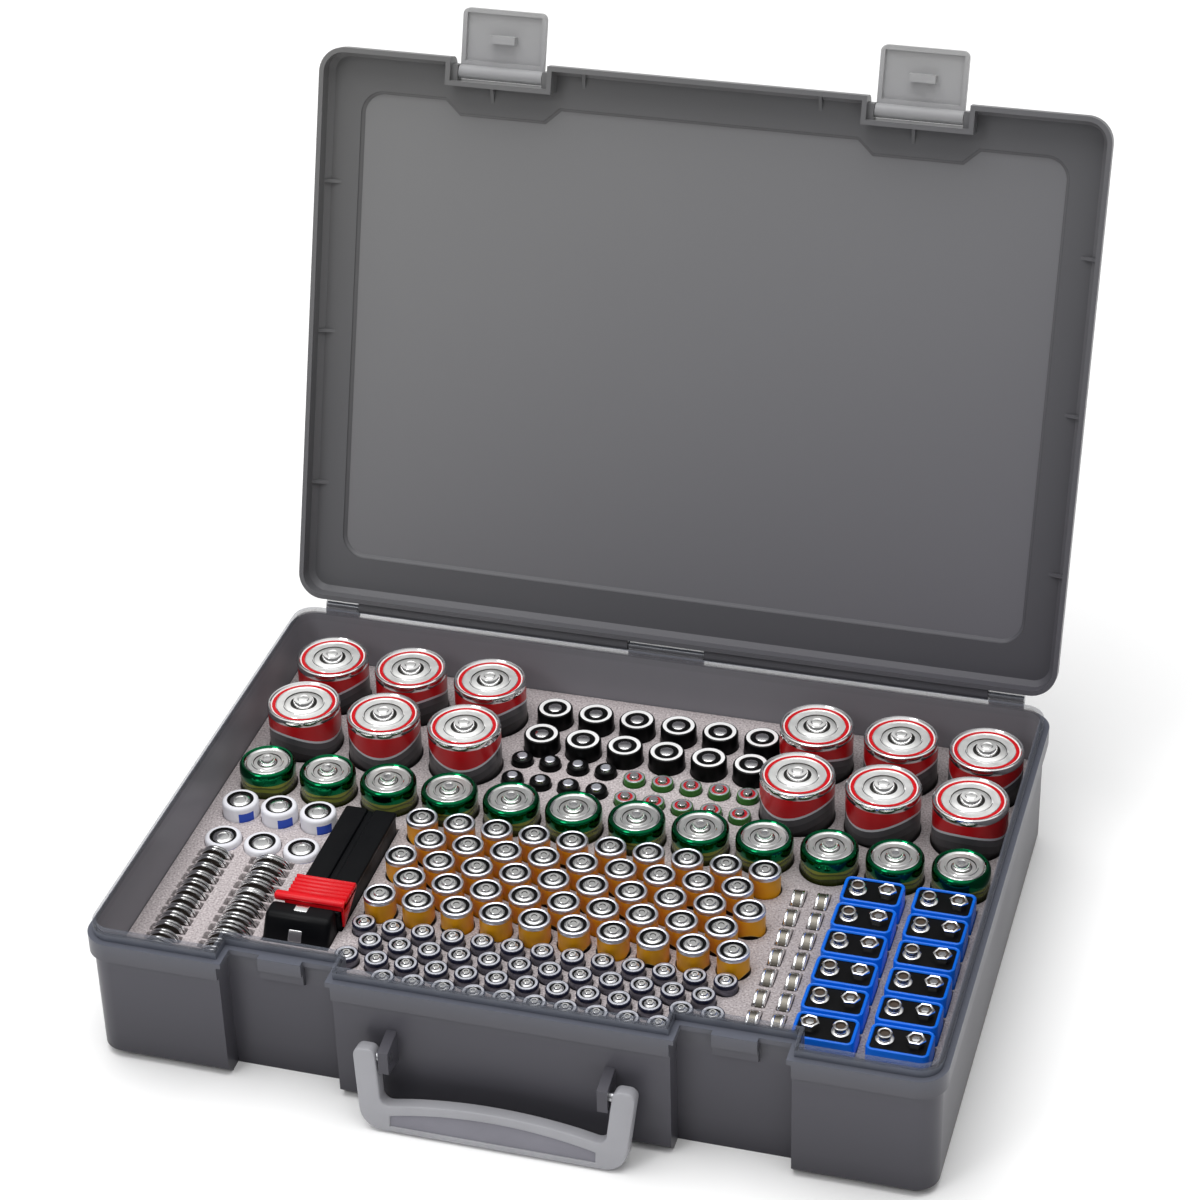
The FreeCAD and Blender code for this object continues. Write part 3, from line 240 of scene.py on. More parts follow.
def smoky(name, stops, depth=0.1, paint_inner_light=False):
    """Smoky see-through plastic; stops give heights in mm, a colour and how solid it looks there.
    Where asked, painted light makes the inner faces of the side and back walls a lighter grey.
    """
    low, high = stops[0][0], stops[-1][0]
    shader = Shader(name, Specular_IOR_Level=0.2)
    height = shader.share(shader.along(shader.place(), (0.0, 0.0, 1.0)), low * MM, high * MM)
    colours = [((z - low) / (high - low), colour) for z, colour, solid in stops]
    solids = [((z - low) / (high - low), solid) for z, colour, solid in stops]
    colour = shader.ramp(height, colours)
    cloud = shader.ramp(shader.noise(scale=9.0, detail=1.0), [(0.3, 1.0 - depth), (0.7, 1.0)])
    colour = shader.mix(1.0, colour, cloud, "MULTIPLY")
    # Painted light: the inner faces of the side and back walls turn a lighter grey
    if paint_inner_light:
        inputs = [(0, shader.place()), (1, INNER_LIGHT_SPREAD)]
        spread = shader.node("ShaderNodeVectorMath", inputs, operation="MULTIPLY").outputs[0]
        normal = shader.node("ShaderNodeNewGeometry").outputs["Normal"]
        inner_light_share = shader.share(shader.along(spread, normal), INNER_LIGHT_FADE - 1.0, -1.0)
        colour = shader.mix(inner_light_share, colour, linear("#87868c"))
    shader.link(colour, "Base Color")
    shader.link(shader.ramp(height, solids), "Alpha")
    return satin(shader)


def lid_plastic():
    """Smoky lid: darker border, lighter panel, painted shade on the bevel between them, and painted light
    that makes it paler towards the upper left corner.
    """
    shader = Shader("smoky_lid", Specular_IOR_Level=0.15)
    place = shader.place()
    across = Vector((0, math.sin(LID_OPEN), math.cos(LID_OPEN)))
    level = shader.math("SUBTRACT", shader.along(place, across), across.dot(HINGE) * MM)
    border_level, panel_level = 6.0, 8.2
    depth = shader.share(level, border_level * MM, panel_level * MM)
    # Painted light: the lid is paler towards the upper left corner and darker towards the lower right
    painted_light_way = Vector((0.6, 0, -1.0))
    pale_end, dark_end = -0.42, 0.05
    slope = shader.share(shader.along(place, painted_light_way), pale_end, dark_end)
    panel = shader.ramp(slope, [(0.0, "#8b8b8b"), (0.5, "#7d7d80"), (1.0, "#68676e")])
    border = shader.ramp(slope, [(0.0, "#727272"), (0.5, "#656568"), (1.0, "#515056")])
    colour = shader.mix(shader.ramp(depth, [(0.1, 0.0), (0.9, 1.0)]), border, panel)
    # Painted shade: the sloping bevel between border and panel is darkened
    groove = shader.ramp(depth, [(0.02, 1.0), (0.12, 0.55), (0.5, 0.8), (0.88, 0.55), (0.98, 1.0)])
    shader.link(shader.mix(1.0, colour, groove, "MULTIPLY"), "Base Color")
    return satin(shader)


def banded(name, stops, wave, waves, **sockets):
    """Printed jacket: colours by height along a cell, with borders that wave round it."""
    shader = Shader(name, **sockets)
    turn, height = shader.wrapped()
    angle = shader.math("MULTIPLY", turn, FULL_TURN * waves)
    rise = shader.math("MULTIPLY", shader.math("SINE", angle), wave)
    colour = shader.ramp(shader.math("ADD", height, rise), stops, "CONSTANT")
    shader.link(shader.shaded(colour, scale=90.0, depth=0.1), "Base Color")
    shader.bump(shader.noise(scale=1200.0), distance=0.00001)
    return shader.material


def foam_material():
    """Open foam with dark and light specks, and painted shade that makes it greyer towards the right."""
    shader = Shader("foam", Roughness=0.95)
    tones = [(0.32, "#8f8688"), (0.45, "#b3aaab"), (0.58, "#c3babb"), (0.72, "#e2dbdc")]
    specks = shader.ramp(shader.noise(scale=1100.0, detail=4.0), tones)
    broad = shader.ramp(shader.noise(scale=14.0), [(0.3, 0.86), (0.7, 1.0)])
    # Painted shade: the foam darkens towards the right, as in the shadow of the right wall
    pale_end, shaded_end = 50, 110
    right = shader.share(shader.along(shader.place(), (1.0, 0.0, 0.0)), pale_end * MM, shaded_end * MM)
    broad = shader.mix(1.0, broad, shader.ramp(right, [(0.0, 1.0), (1.0, 0.66)]), "MULTIPLY")
    shader.link(shader.mix(1.0, specks, broad, "MULTIPLY"), "Base Color")
    shader.bump(shader.noise(scale=900.0, detail=4.0), distance=0.0003)
    return shader.material


def finish_mesh(name, mesh, body, nodes):
    """Make an object of a mesh, shade it smooth but for its sharp edges, and set it on its body."""
    mesh.shade_smooth()
    made = bpy.data.objects.new(name, mesh)
    bpy.context.scene.collection.objects.link(made)
    mesh.set_sharp_from_angle(angle=SMOOTH_ANGLE)
    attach(made, body)
    if nodes:
        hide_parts(*nodes)
    return made


class Pile:
    """Faces gathered from many copies of lofted forms, for one mesh."""

    def __init__(self):
        self.points = []
        self.faces = []
        self.paint = []
        self.uvs = []

    def loft(self, rings, matrix):
        """Join rings, each given as its points, the material of the band that ends at it, and its height.

        A ring of one point closes the form. Heights, as shares of the highest, place the jackets' bands.
        """
        top = max(height for points, paint, height in rings)
        last_points, last_start, last_v = (), 0, 0.0
        for points, paint, height in rings:
            start, v = len(self.points), height / top
            self.points += [matrix @ Vector(point) for point in points]
            count = max(len(points), len(last_points)) if last_points else 0
            for k in range(count):
                n = (k + 1) % count
                turn, next_turn = k / count, (k + 1) / count
                if len(last_points) == 1:
                    face = (last_start, start + n, start + k)
                    uv = ((turn, last_v), (next_turn, v), (turn, v))
                elif len(points) == 1:
                    face = (last_start + k, last_start + n, start)
                    uv = ((turn, last_v), (next_turn, last_v), (turn, v))
                else:
                    face = (last_start + k, last_start + n, start + n, start + k)
                    uv = ((turn, last_v), (next_turn, last_v), (next_turn, v), (turn, v))
                self.faces.append(face)
                self.paint.append(paint)
                self.uvs += uv
            last_points, last_start, last_v = points, start, v

    def make(self, name, materials, nodes):
        """The object, on the case, that holds every face gathered so far."""
        mesh = bpy.data.meshes.new(name)
        mesh.from_pydata([point * MM for point in self.points], [], self.faces)
        for material in materials:
            mesh.materials.append(material)
        mesh.polygons.foreach_set("material_index", self.paint)
        layer = mesh.uv_layers.new(name="UVMap")
        layer.data.foreach_set("uv", [number for uv in self.uvs for number in uv])
        mesh.validate()
        finish_mesh(name, mesh, "case", nodes)


def circle(radius, height, sides):
    """Points of a level circle, or its middle alone where the radius is nil."""
    if radius == 0:
        return [(0, 0, height)]
    turns = [FULL_TURN * k / sides for k in range(sides)]
    return [(radius * math.cos(turn), radius * math.sin(turn), height) for turn in turns]


def round_rectangle(width, depth, corner, inset, height):
    """Points of a level rectangle with round corners, drawn in by an inset."""
    least_radius = corner / 5
    radius = max(corner - inset, least_radius)
    points = []
    for quarter in range(4):
        across = (width / 2 - inset - radius) * (1 if quarter in (0, 3) else -1)
        along = (depth / 2 - inset - radius) * (1 if quarter in (0, 1) else -1)
        for step in range(CORNER_STEPS + 1):
            turn = FULL_TURN * (quarter + step / CORNER_STEPS) / 4
            points.append((across + radius * math.cos(turn), along + radius * math.sin(turn), height))
    return points


def turned(profile, sides):
    """Rings of a turned form from its radii, heights and paints."""
    return [(circle(radius, height, sides), paint, height) for radius, height, paint in profile]


def parts(node):
    """Lowest and highest corners, in millimetres, of each separate solid of a node."""
    form = bmesh.new()
    form.from_mesh(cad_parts[node].data)
    bmesh.ops.remove_doubles(form, verts=form.verts, dist=SAME_POINT)
    left = set(form.verts)
    found = []
    while left:
        group = [left.pop()]
        for vert in group:
            for edge in vert.link_edges:
                other = edge.other_vert(vert)
                if other in left:
                    left.remove(other)
                    group.append(other)
        corners = [[pick(v.co[axis] for v in group) / MM for axis in range(3)] for pick in (min, max)]
        found.append((Vector(corners[0]), Vector(corners[1])))
    form.free()
    return sorted(found, key=lambda part: (round(part[0].y, 1), round(part[0].x, 1)))


def middles(node):
    """Middle of each separate solid of a node, at its own foot."""
    return [Vector(((low.x + high.x) / 2, (low.y + high.y) / 2, low.z)) for low, high in parts(node)]


def box(node):
    """Lowest and highest corners of a node, in millimetres."""
    low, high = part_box(node)
    return low / MM, high / MM


def rounded(corners, steps=8):
    """Loop through corners (x, y, radius), each rounded by its own radius."""
    loop = []
    for k, (x, y, radius) in enumerate(corners):
        here = Vector((x, y))
        if not radius:
            loop.append((x, y))
            continue
        back = (Vector(corners[k - 1][:2]) - here).normalized()
        ahead = (Vector(corners[(k + 1) % len(corners)][:2]) - here).normalized()
        half = back.angle(ahead) / 2
        middle = here + (back + ahead).normalized() * radius / math.sin(half)
        start = here + back * radius / math.tan(half) - middle
        stop = here + ahead * radius / math.tan(half) - middle
        first = math.atan2(start.y, start.x)
        sweep = (math.atan2(stop.y, stop.x) - first + math.pi) % FULL_TURN - math.pi
        for step in range(steps + 1):
            turn = first + sweep * step / steps
            loop.append((middle.x + radius * math.cos(turn), middle.y + radius * math.sin(turn)))
    return loop


def rectangle(x_low, x_high, y_low, y_high, corner, steps=5):
    """Loop of a rectangle with round corners."""
    corners = ((x_low, y_low), (x_high, y_low), (x_high, y_high), (x_low, y_high))
    return rounded([(x, y, corner) for x, y in corners], steps)


def bowed(x_low, x_high, y, crown):
    """Points of a shallow arch between two places on a level line, from high x to low x."""
    half = (x_high - x_low) / 2
    radius = (half * half + crown * crown) / (2 * crown)
    sweep = math.asin(half / radius)
    points = []
    for step in range(ARCH_STEPS + 1):
        turn = sweep - 2 * sweep * step / ARCH_STEPS
        rise = crown - radius + radius * math.cos(turn)
        points.append((x_low + half + radius * math.sin(turn), y + rise))
    return points


def turning(loop, leftward):
    """The loop in the sense asked for: leftward runs counterclockwise."""
    area = sum(a[0] * b[1] - b[0] * a[1] for a, b in zip(loop, loop[1:] + loop[:1]))
    return loop if (area > 0) == leftward else loop[::-1]


def drawn_in(loop, inset):
    """The loop moved to the left of its own travel by an inset."""
    sharpest = 0.5
    drawn = []
    for k, point in enumerate(loop):
        here, before, after = Vector(point), Vector(loop[k - 1]), Vector(loop[(k + 1) % len(loop)])
        sides = [(here - before).normalized(), (after - here).normalized()]
        mitre = sum((Vector((-side.y, side.x)) for side in sides), Vector((0, 0)))
        drawn.append(here + mitre * (2 * inset / max(mitre.length_squared, sharpest)))
    return drawn


def flat_piece(name, loops, low, high, edge, material, body, nodes=(), matrix=Matrix.Identity(4)):
    """Slab between two levels, with an outline, holes and rounded rims, set in place by a matrix."""
    loops = [turning(loop, number == 0) for number, loop in enumerate(loops)]
    turns = [FULL_TURN / 4 * step / RIM_STEPS for step in range(RIM_STEPS + 1)]
    rim = [(edge * (1 - math.sin(turn)), edge * (1 - math.cos(turn))) for turn in turns]
    levels = [(inset, high - drop) for inset, drop in rim]
    levels += [(inset, low + drop) for inset, drop in reversed(rim)]
    points, faces, flat, bounds = [], [], [], []
    for loop in loops:
        count = len(loop)
        for number, (inset, level) in enumerate(levels):
            ring = drawn_in(loop, inset)
            start = len(points)
            points += [(point.x, point.y, level) for point in ring]
            if number:
                for k in range(count):
                    n = (k + 1) % count
                    faces.append((start - count + k, start + k, start + n, start - count + n))
            else:
                order = [len(flat) + k for k in range(count)]
                bounds.append(order[::-1] if bounds else order)
                flat += ring
    inside_only, near = 1, 0.001
    cap_points, _, cap_faces, _, _, owners = delaunay_2d_cdt(flat, [], bounds, inside_only, near)
    solid = [face for face, inside in zip(cap_faces, owners) if list(inside) == [0]]
    for level, order in ((high, 1), (low, -1)):
        start = len(points)
        points += [(point.x, point.y, level) for point in cap_points]
        faces += [[start + corner for corner in face[::order]] for face in solid]
    mesh = bpy.data.meshes.new(name)
    mesh.from_pydata([matrix @ Vector(point) * MM for point in points], [], faces)
    form = bmesh.new()
    form.from_mesh(mesh)
    bmesh.ops.remove_doubles(form, verts=form.verts, dist=WELD_GAP)
    bmesh.ops.recalc_face_normals(form, faces=form.faces)
    form.to_mesh(mesh)
    form.free()
    mesh.materials.append(material)
    return finish_mesh(name, mesh, body, nodes)


def cells(node, paints, profile, sides=ROUND_SIDES, spin=True):
    """One detailed cell at each place of a group, from its turned profile."""
    keys = list(paints)
    rings = turned([(radius, height, keys.index(paint)) for radius, height, paint in profile], sides)
    pile = Pile()
    for middle in middles(node):
        turn = random.uniform(0, FULL_TURN) if spin else 0.0
        pile.loft(rings, Matrix.Translation(middle) @ Matrix.Rotation(turn, 4, "Z"))
    pile.make(node + "_detail", list(paints.values()), [node])


def make_large_cells(bright, groove):
    """Red jackets under a rolled rim, with a red ring round the ribbed end."""
    bands = [(0.0, "#19191b"), (0.66, "#3c3c40"), (0.72, "#55555a"), (0.775, "#eeeef6"), (0.795, "#e6121d")]
    paints = {
        "silver": metal("plate_silver", "#fbfbf9", rough=0.48),
        "bright": bright,
        "jacket": banded("red_jacket", bands, wave=0.045, waves=2, Roughness=0.3, Specular_IOR_Level=0.3),
        "white": moulded("white_ring", "#e9e9e9", rough=0.35),
        "red": moulded("red_ring", "#c4121b", rough=0.25),
        # The groove paint is painted shade in the grooves of the end
        "groove": groove,
    }
    profile = [
        (0, 0, "silver"), (15.6, 0, "silver"), (16.6, 0.8, "silver"), (16.8, 1.6, "jacket"),
        (16.8, 56.6, "jacket"), (17.0, 56.9, "bright"), (17.0, 58.9, "bright"), (16.8, 59.6, "bright"),
        (16.3, 60.0, "bright"), (15.7, 59.9, "bright"), (15.3, 59.4, "bright"), (15.0, 59.1, "white"),
        (14.7, 59.1, "white"), (13.1, 59.1, "red"), (12.9, 59.3, "bright"), (12.6, 59.0, "silver"),
        (9.7, 59.0, "silver"), (9.4, 59.3, "bright"), (9.0, 59.3, "silver"), (8.7, 58.8, "groove"),
        (8.3, 58.9, "silver"), (7.0, 59.2, "silver"), (6.2, 59.2, "silver"), (5.9, 58.7, "groove"),
        (5.2, 58.8, "groove"), (4.9, 59.5, "bright"), (4.7, 60.9, "bright"), (4.3, 61.4, "bright"),
        (2.9, 61.5, "silver"), (2.6, 61.2, "silver"), (2.2, 61.4, "bright"), (0, 61.4, "silver"),
    ]
    cells("large_cells", paints, profile, FINE_SIDES)


def make_middle_cells(silver, bright, groove):
    """Olive foil jackets under a green metal rim."""
    bands = [(0.0, "#3c4412"), (0.78, "#76821f"), (0.81, "#4f5a16"), (0.83, "#8b972c")]
    olive = banded("olive_jacket", bands, wave=0.01, waves=5, Roughness=0.25, Metallic=0.4)
    green = metal("green_rim", "#0c6a40", rough=0.12)
    # The groove paint is painted shade in the grooves of the end
    paints = {"silver": silver, "bright": bright, "jacket": olive, "green": green, "groove": groove}
    profile = [
        (0, 0, "silver"), (12.2, 0, "silver"), (12.7, 0.8, "jacket"), (12.7, 44.0, "jacket"),
        (12.9, 44.4, "green"), (12.9, 47.0, "green"), (12.75, 48.6, "green"), (12.3, 49.5, "green"),
        (11.6, 50.0, "green"), (10.9, 49.9, "green"), (10.4, 49.3, "green"), (10.1, 49.0, "bright"),
        (9.7, 49.3, "bright"), (9.3, 49.0, "silver"), (7.4, 49.0, "silver"), (7.1, 49.3, "bright"),
        (6.5, 49.3, "silver"), (6.2, 48.8, "groove"), (4.6, 48.8, "silver"), (4.2, 48.9, "groove"),
        (4.0, 49.5, "bright"), (3.5, 49.8, "bright"), (3.3, 51.1, "bright"), (3.0, 51.5, "bright"),
        (2.0, 51.5, "silver"), (1.7, 51.2, "silver"), (0, 51.3, "bright"),
    ]
    cells("middle_cells", paints, profile, FINE_SIDES)


def make_finger_cells(silver, bright, black, pale):
    """Amber jackets with a pale rim, a black seal and a small silver end."""
    bands = [(0.0, "#17130d"), (0.74, "#f3c66b"), (0.75, "#ffb31c")]
    amber = banded("amber_jacket", bands, wave=0.05, waves=2, Roughness=0.35, Specular_IOR_Level=0.2)
    paints = {"silver": silver, "bright": bright, "jacket": amber, "pale": pale, "black": black}
    profile = [
        (0, 0, "silver"), (6.5, 0, "silver"), (7.0, 0.6, "jacket"), (7.0, 46.3, "jacket"),
        (7.2, 46.6, "pale"), (7.2, 47.6, "pale"), (6.9, 48.2, "pale"), (6.3, 48.4, "pale"),
        (5.7, 48.2, "pale"), (5.5, 47.6, "black"), (4.2, 47.6, "black"), (4.0, 48.0, "silver"),
        (3.5, 48.1, "bright"), (3.2, 47.8, "silver"), (2.9, 47.9, "silver"), (2.7, 48.9, "bright"),
        (2.4, 49.2, "bright"), (1.3, 49.2, "silver"), (1.1, 48.9, "black"), (0, 48.9, "silver"),
    ]
    cells("finger_cells", paints, profile, SMALL_ROUND_SIDES)


def make_slim_cells(silver, bright, black, pale):
    """Grey jackets with a navy collar."""
    bands = [(0.0, "#4b4a55"), (0.86, "#8a8894"), (0.9, "#6d6b77")]
    grey = banded("grey_jacket", bands, wave=0.02, waves=2, Roughness=0.3, Metallic=0.3)
    paints = {
        "silver": silver, "bright": bright, "jacket": grey, "black": black, "pale": pale,
        "navy": moulded("navy_collar", "#1b1d33", rough=0.25),
    }
    profile = [
        (0, 0, "silver"), (4.7, 0, "silver"), (5.05, 0.5, "jacket"), (5.05, 40.4, "jacket"),
        (5.2, 40.7, "navy"), (5.2, 41.6, "navy"), (5.0, 42.2, "navy"), (4.6, 42.4, "navy"),
        (4.4, 42.4, "pale"), (3.6, 42.4, "pale"), (3.4, 42.1, "pale"), (3.3, 41.8, "black"),
        (2.6, 41.8, "black"), (2.4, 42.1, "silver"), (2.0, 42.3, "bright"), (1.8, 42.9, "bright"),
        (1.5, 43.2, "bright"), (0.8, 43.2, "silver"), (0.6, 42.9, "black"), (0, 42.9, "silver"),
    ]
    cells("slim_cells", paints, profile, SMALL_ROUND_SIDES)


def make_camera_cells(bright, black, white):
    """Black cells with a white ring round the button."""
    paints = {"black": black, "white": white, "bright": bright}
    profile = [
        (0, 0, "black"), (7.9, 0, "black"), (8.4, 0.6, "black"), (8.4, 33.4, "black"),
        (8.1, 34.1, "black"), (7.4, 34.4, "black"), (7.2, 34.45, "white"), (5.9, 34.45, "white"),
        (5.6, 34.2, "white"), (5.4, 33.9, "black"), (3.2, 33.9, "black"), (3.1, 34.3, "bright"),
        (2.7, 34.5, "bright"), (0, 34.5, "bright"),
    ]
    cells("camera_cells", paints, profile)


def make_short_cells(silver, bright, black, pale):
    """Short cells: a dark group, and a bright one with green edges and a red seal."""
    dark = {"black": black, "bright": bright, "silver": silver, "pale": pale}
    dark_profile = [
        (0, 0, "silver"), (4.8, 0, "silver"), (5.0, 0.5, "black"), (5.0, 26.9, "black"),
        (4.7, 27.4, "black"), (3.9, 27.5, "black"), (3.6, 27.2, "black"), (2.8, 27.2, "black"),
        (2.6, 27.6, "bright"), (2.5, 28.2, "bright"), (2.1, 28.5, "pale"), (0, 28.5, "pale"),
    ]
    cells("short_dark_cells", dark, dark_profile, SMALL_ROUND_SIDES)
    bright_paints = {
        "silver": silver, "bright": bright, "pale": pale,
        "green": moulded("green_edge", "#2c6420", rough=0.3),
        "red": moulded("red_seal", "#b8202a", rough=0.3),
    }
    bright_profile = [
        (0, 0, "silver"), (4.8, 0, "silver"), (5.0, 0.5, "green"), (5.0, 26.6, "green"),
        (4.9, 27.1, "green"), (4.5, 27.3, "green"), (4.2, 27.3, "pale"), (3.5, 27.3, "pale"),
        (3.4, 27.0, "red"), (2.5, 27.0, "red"), (2.3, 27.4, "silver"), (2.1, 28.2, "bright"),
        (1.8, 28.5, "bright"), (0, 28.5, "bright"),
    ]
    cells("short_bright_cells", bright_paints, bright_profile, SMALL_ROUND_SIDES)


def white_jacket():
    """White jacket with a plain blue patch on the side that faces the front."""
    shader = Shader("white_jacket", Roughness=0.35)
    turn, height = shader.wrapped()
    patch_middle, half_patch, patch_top = 0.86, 0.07, 0.92
    off_middle = shader.math("ABSOLUTE", shader.math("SUBTRACT", turn, patch_middle))
    beside = shader.math("LESS_THAN", off_middle, half_patch)
    under = shader.math("LESS_THAN", height, patch_top)
    patch = shader.math("MULTIPLY", beside, under)
    white = shader.shaded(linear("#e4e4ea"), scale=60.0, depth=0.06)
    shader.link(shader.mix(patch, white, linear("#1746b5")), "Base Color")
    shader.bump(shader.noise(scale=900.0), distance=0.00002)
    return shader.material


def make_white_cells(silver, bright, black):
    """White photo cells with a round shoulder and a wide button."""
    paints = {"jacket": white_jacket(), "black": black, "bright": bright, "silver": silver}
    profile = [
        (0, 0, "silver"), (7.8, 0, "silver"), (8.2, 0.6, "jacket"), (8.3, 33.0, "jacket"),
        (8.1, 33.8, "jacket"), (7.6, 34.3, "jacket"), (6.9, 34.5, "jacket"), (6.1, 34.4, "jacket"),
        (5.9, 33.9, "black"), (4.7, 33.9, "black"), (4.5, 34.1, "silver"), (4.0, 34.4, "bright"),
        (2.6, 34.4, "bright"), (2.3, 34.1, "silver"), (0, 34.2, "bright"),
    ]
    cells("white_cells", paints, profile, spin=False)


def coin_rings(radius, thickness):
    """Rings of one coin cell: a stepped cap in a can with a rolled rim."""
    profile = [
        (0, 0, 0), (radius - 1.9, 0, 0), (radius - 1.7, 0.3, 1), (radius - 0.7, 0.3, 1),
        (radius - 0.2, 0.5, 1), (radius, 0.8, 0), (radius, thickness - 0.4, 0),
        (radius - 0.3, thickness - 0.1, 0), (radius - 0.8, thickness, 0), (radius - 1.6, thickness, 1),
        (0, thickness, 1),
    ]
    return turned(profile, ROUND_SIDES)


def make_coins(bright, shade):
    """Two coin cells in each slit, a little uneven as they lean."""
    coins, room, gap, margin, drop = 2, 0.25, 0.2, 0.1, 0.5
    least_lean, most_lean = 88.0, 92.0
    for node in ("small_coin_cells", "large_coin_cells"):
        pile = Pile()
        for low, high in parts(node):
            middle = (low + high) / 2
            thickness = (high.y - low.y) / coins - room
            rings = coin_rings((high.x - low.x) / 2 - margin, thickness)
            for number in range(coins):
                lean = math.radians(random.uniform(least_lean, most_lean))
                face = low.y + margin + (number + 1) * (thickness + gap)
                place = Vector((middle.x, face, middle.z + random.uniform(-drop, 0.0)))
                pile.loft(rings, Matrix.Translation(place) @ Matrix.Rotation(lean, 4, "X"))
        pile.make(node + "_detail", [bright, shade], [node])


def make_buttons(bright, dull):
    """Button cells on edge: two bright rims with a dull band between them."""
    pile = Pile()
    for low, high in parts("button_cells"):
        radius = (high.z - low.z) / 2
        wide = high.x - low.x
        profile = [
            (0, 0, 0), (radius - 0.7, 0, 0), (radius - 0.15, 0.3, 0), (radius, 0.7, 0), (radius, 1.1, 0),
            (radius - 0.3, 1.35, 0), (radius - 0.3, wide - 1.35, 1), (radius, wide - 1.1, 0),
            (radius, wide - 0.7, 0), (radius - 0.15, wide - 0.3, 0), (radius - 0.7, wide, 0),
            (0, wide, 0),
        ]
        place = Vector((low.x, (low.y + high.y) / 2, (low.z + high.z) / 2))
        matrix = Matrix.Translation(place) @ Matrix.Rotation(FULL_TURN / 4, 4, "Y")
        pile.loft(turned(profile, ROUND_SIDES), matrix)
    pile.make("button_cells_detail", [bright, dull], ["button_cells"])


def make_square_cells(black):
    """Blue cells with a rolled rim round a black end."""
    blue = moulded("blue_jacket", "#066adf", rough=0.28)
    corner, sunk = 3.2, 1.0
    pile = Pile()
    for low, high in parts("square_cells"):
        width, depth, tall = high - low
        profile = [
            (0.6, 0, 0), (0, 0.6, 0), (0, tall - 0.9, 0), (0.25, tall - 0.3, 0), (0.8, tall, 0),
            (1.3, tall - 0.2, 0), (1.6, tall - 0.7, 0), (1.7, tall - sunk, 1),
            (depth / 2 - 0.5, tall - sunk, 1),
        ]
        rings = [([(0, 0, 0)], 0, 0)]
        for inset, height, paint in profile:
            rings.append((round_rectangle(width, depth, corner, inset, height), paint, height))
        rings.append(([(0, 0, tall - sunk)], 1, tall))
        pile.loft(rings, Matrix.Translation(((low.x + high.x) / 2, (low.y + high.y) / 2, low.z)))
    pile.make("square_cells_detail", [blue, black], ["square_cells"])


def make_snaps(bright, hollow_shade):
    """Round studs and six-sided sockets on the square cells, with painted shade in their hollows."""
    round_profile = [
        (0, -1.0, 0), (3.9, -1.0, 0), (3.9, -0.6, 0), (3.5, -0.3, 0), (2.5, -0.2, 0), (2.3, 0.9, 0),
        (2.7, 1.5, 0), (3.1, 1.9, 0), (3.15, 2.3, 0), (2.8, 2.6, 0), (2.2, 2.5, 0), (2.0, 1.6, 1),
        (0, 1.5, 1),
    ]
    hex_profile = [
        (0, -1.0, 0), (3.5, -1.0, 0), (3.6, 0.2, 0), (4.2, 1.4, 0), (4.1, 2.2, 0), (3.6, 2.5, 0),
        (3.0, 2.3, 0), (2.7, 1.5, 1), (2.1, 1.2, 1), (1.8, 1.7, 0), (0, 1.9, 0),
    ]
    kinds = (("round_snaps", round_profile, ROUND_SIDES), ("hex_snaps", hex_profile, 6))
    most_turn = 0.2
    for node, profile, sides in kinds:
        pile = Pile()
        for middle in middles(node):
            turn = random.uniform(-most_turn, most_turn)
            pile.loft(turned(profile, sides), Matrix.Translation(middle) @ Matrix.Rotation(turn, 4, "Z"))
        pile.make(node + "_detail", [bright, hollow_shade], [node])


def make_foam():
    """Foam insert with a round or square socket for everything that it holds."""
    low, high = box("foam_insert")
    corner = 7.8
    notch_centre, notch_half, notch_depth = 96.75, 27.5, 10.3
    corners = [(high.x, high.y, corner), (low.x, high.y, corner), (low.x, low.y, corner)]
    for side in (-1, 1):
        first, last = side * notch_centre - notch_half, side * notch_centre + notch_half
        corners += [(first, low.y, 0), (first, low.y + notch_depth, 0)]
        corners += [(last, low.y + notch_depth, 0), (last, low.y, 0)]
    corners.append((high.x, low.y, corner))
    loops = [rounded(corners)]
    round_kinds = (
        ("large_cells", 17.0, FINE_SIDES), ("middle_cells", 12.9, FINE_SIDES),
        ("finger_cells", 7.2, ROUND_SIDES), ("slim_cells", 5.2, SMALL_ROUND_SIDES),
        ("camera_cells", 8.4, ROUND_SIDES), ("short_dark_cells", 5.1, SMALL_ROUND_SIDES),
        ("short_bright_cells", 5.1, SMALL_ROUND_SIDES), ("white_cells", 8.3, ROUND_SIDES),
    )
    for node, radius, sides in round_kinds:
        for middle in middles(node):
            loop = circle(radius + SOCKET_GAP, 0, sides)
            loops.append([(middle.x + x, middle.y + y) for x, y, _ in loop])
    gap, slot_corner = SOCKET_GAP, 0.8
    for node in ("square_cells", "small_coin_cells", "large_coin_cells", "button_cells"):
        for first, last in parts(node):
            sides = (first.x - gap, last.x + gap, first.y - gap, last.y + gap)
            loops.append(rectangle(*sides, slot_corner, steps=2))
    nose_low, nose_high = box("tester_nose")
    body_low, body_high = box("tester_body")
    loops.append([
        (nose_low.x - gap, NOSE_FOOT - gap), (nose_high.x + gap, NOSE_FOOT - gap),
        (nose_high.x + gap, body_low.y - gap), (body_high.x + gap, body_low.y - gap),
        (body_high.x + gap, body_high.y + gap), (body_low.x - gap, body_high.y + gap),
        (body_low.x - gap, nose_high.y + gap), (nose_low.x - gap, nose_high.y + gap),
    ])
    foam = flat_piece("foam_insert_detail", loops, FOAM_FLOOR, FOAM_TOP, FOAM_RIM, foam_material(), "case",
                      ["foam_insert"])


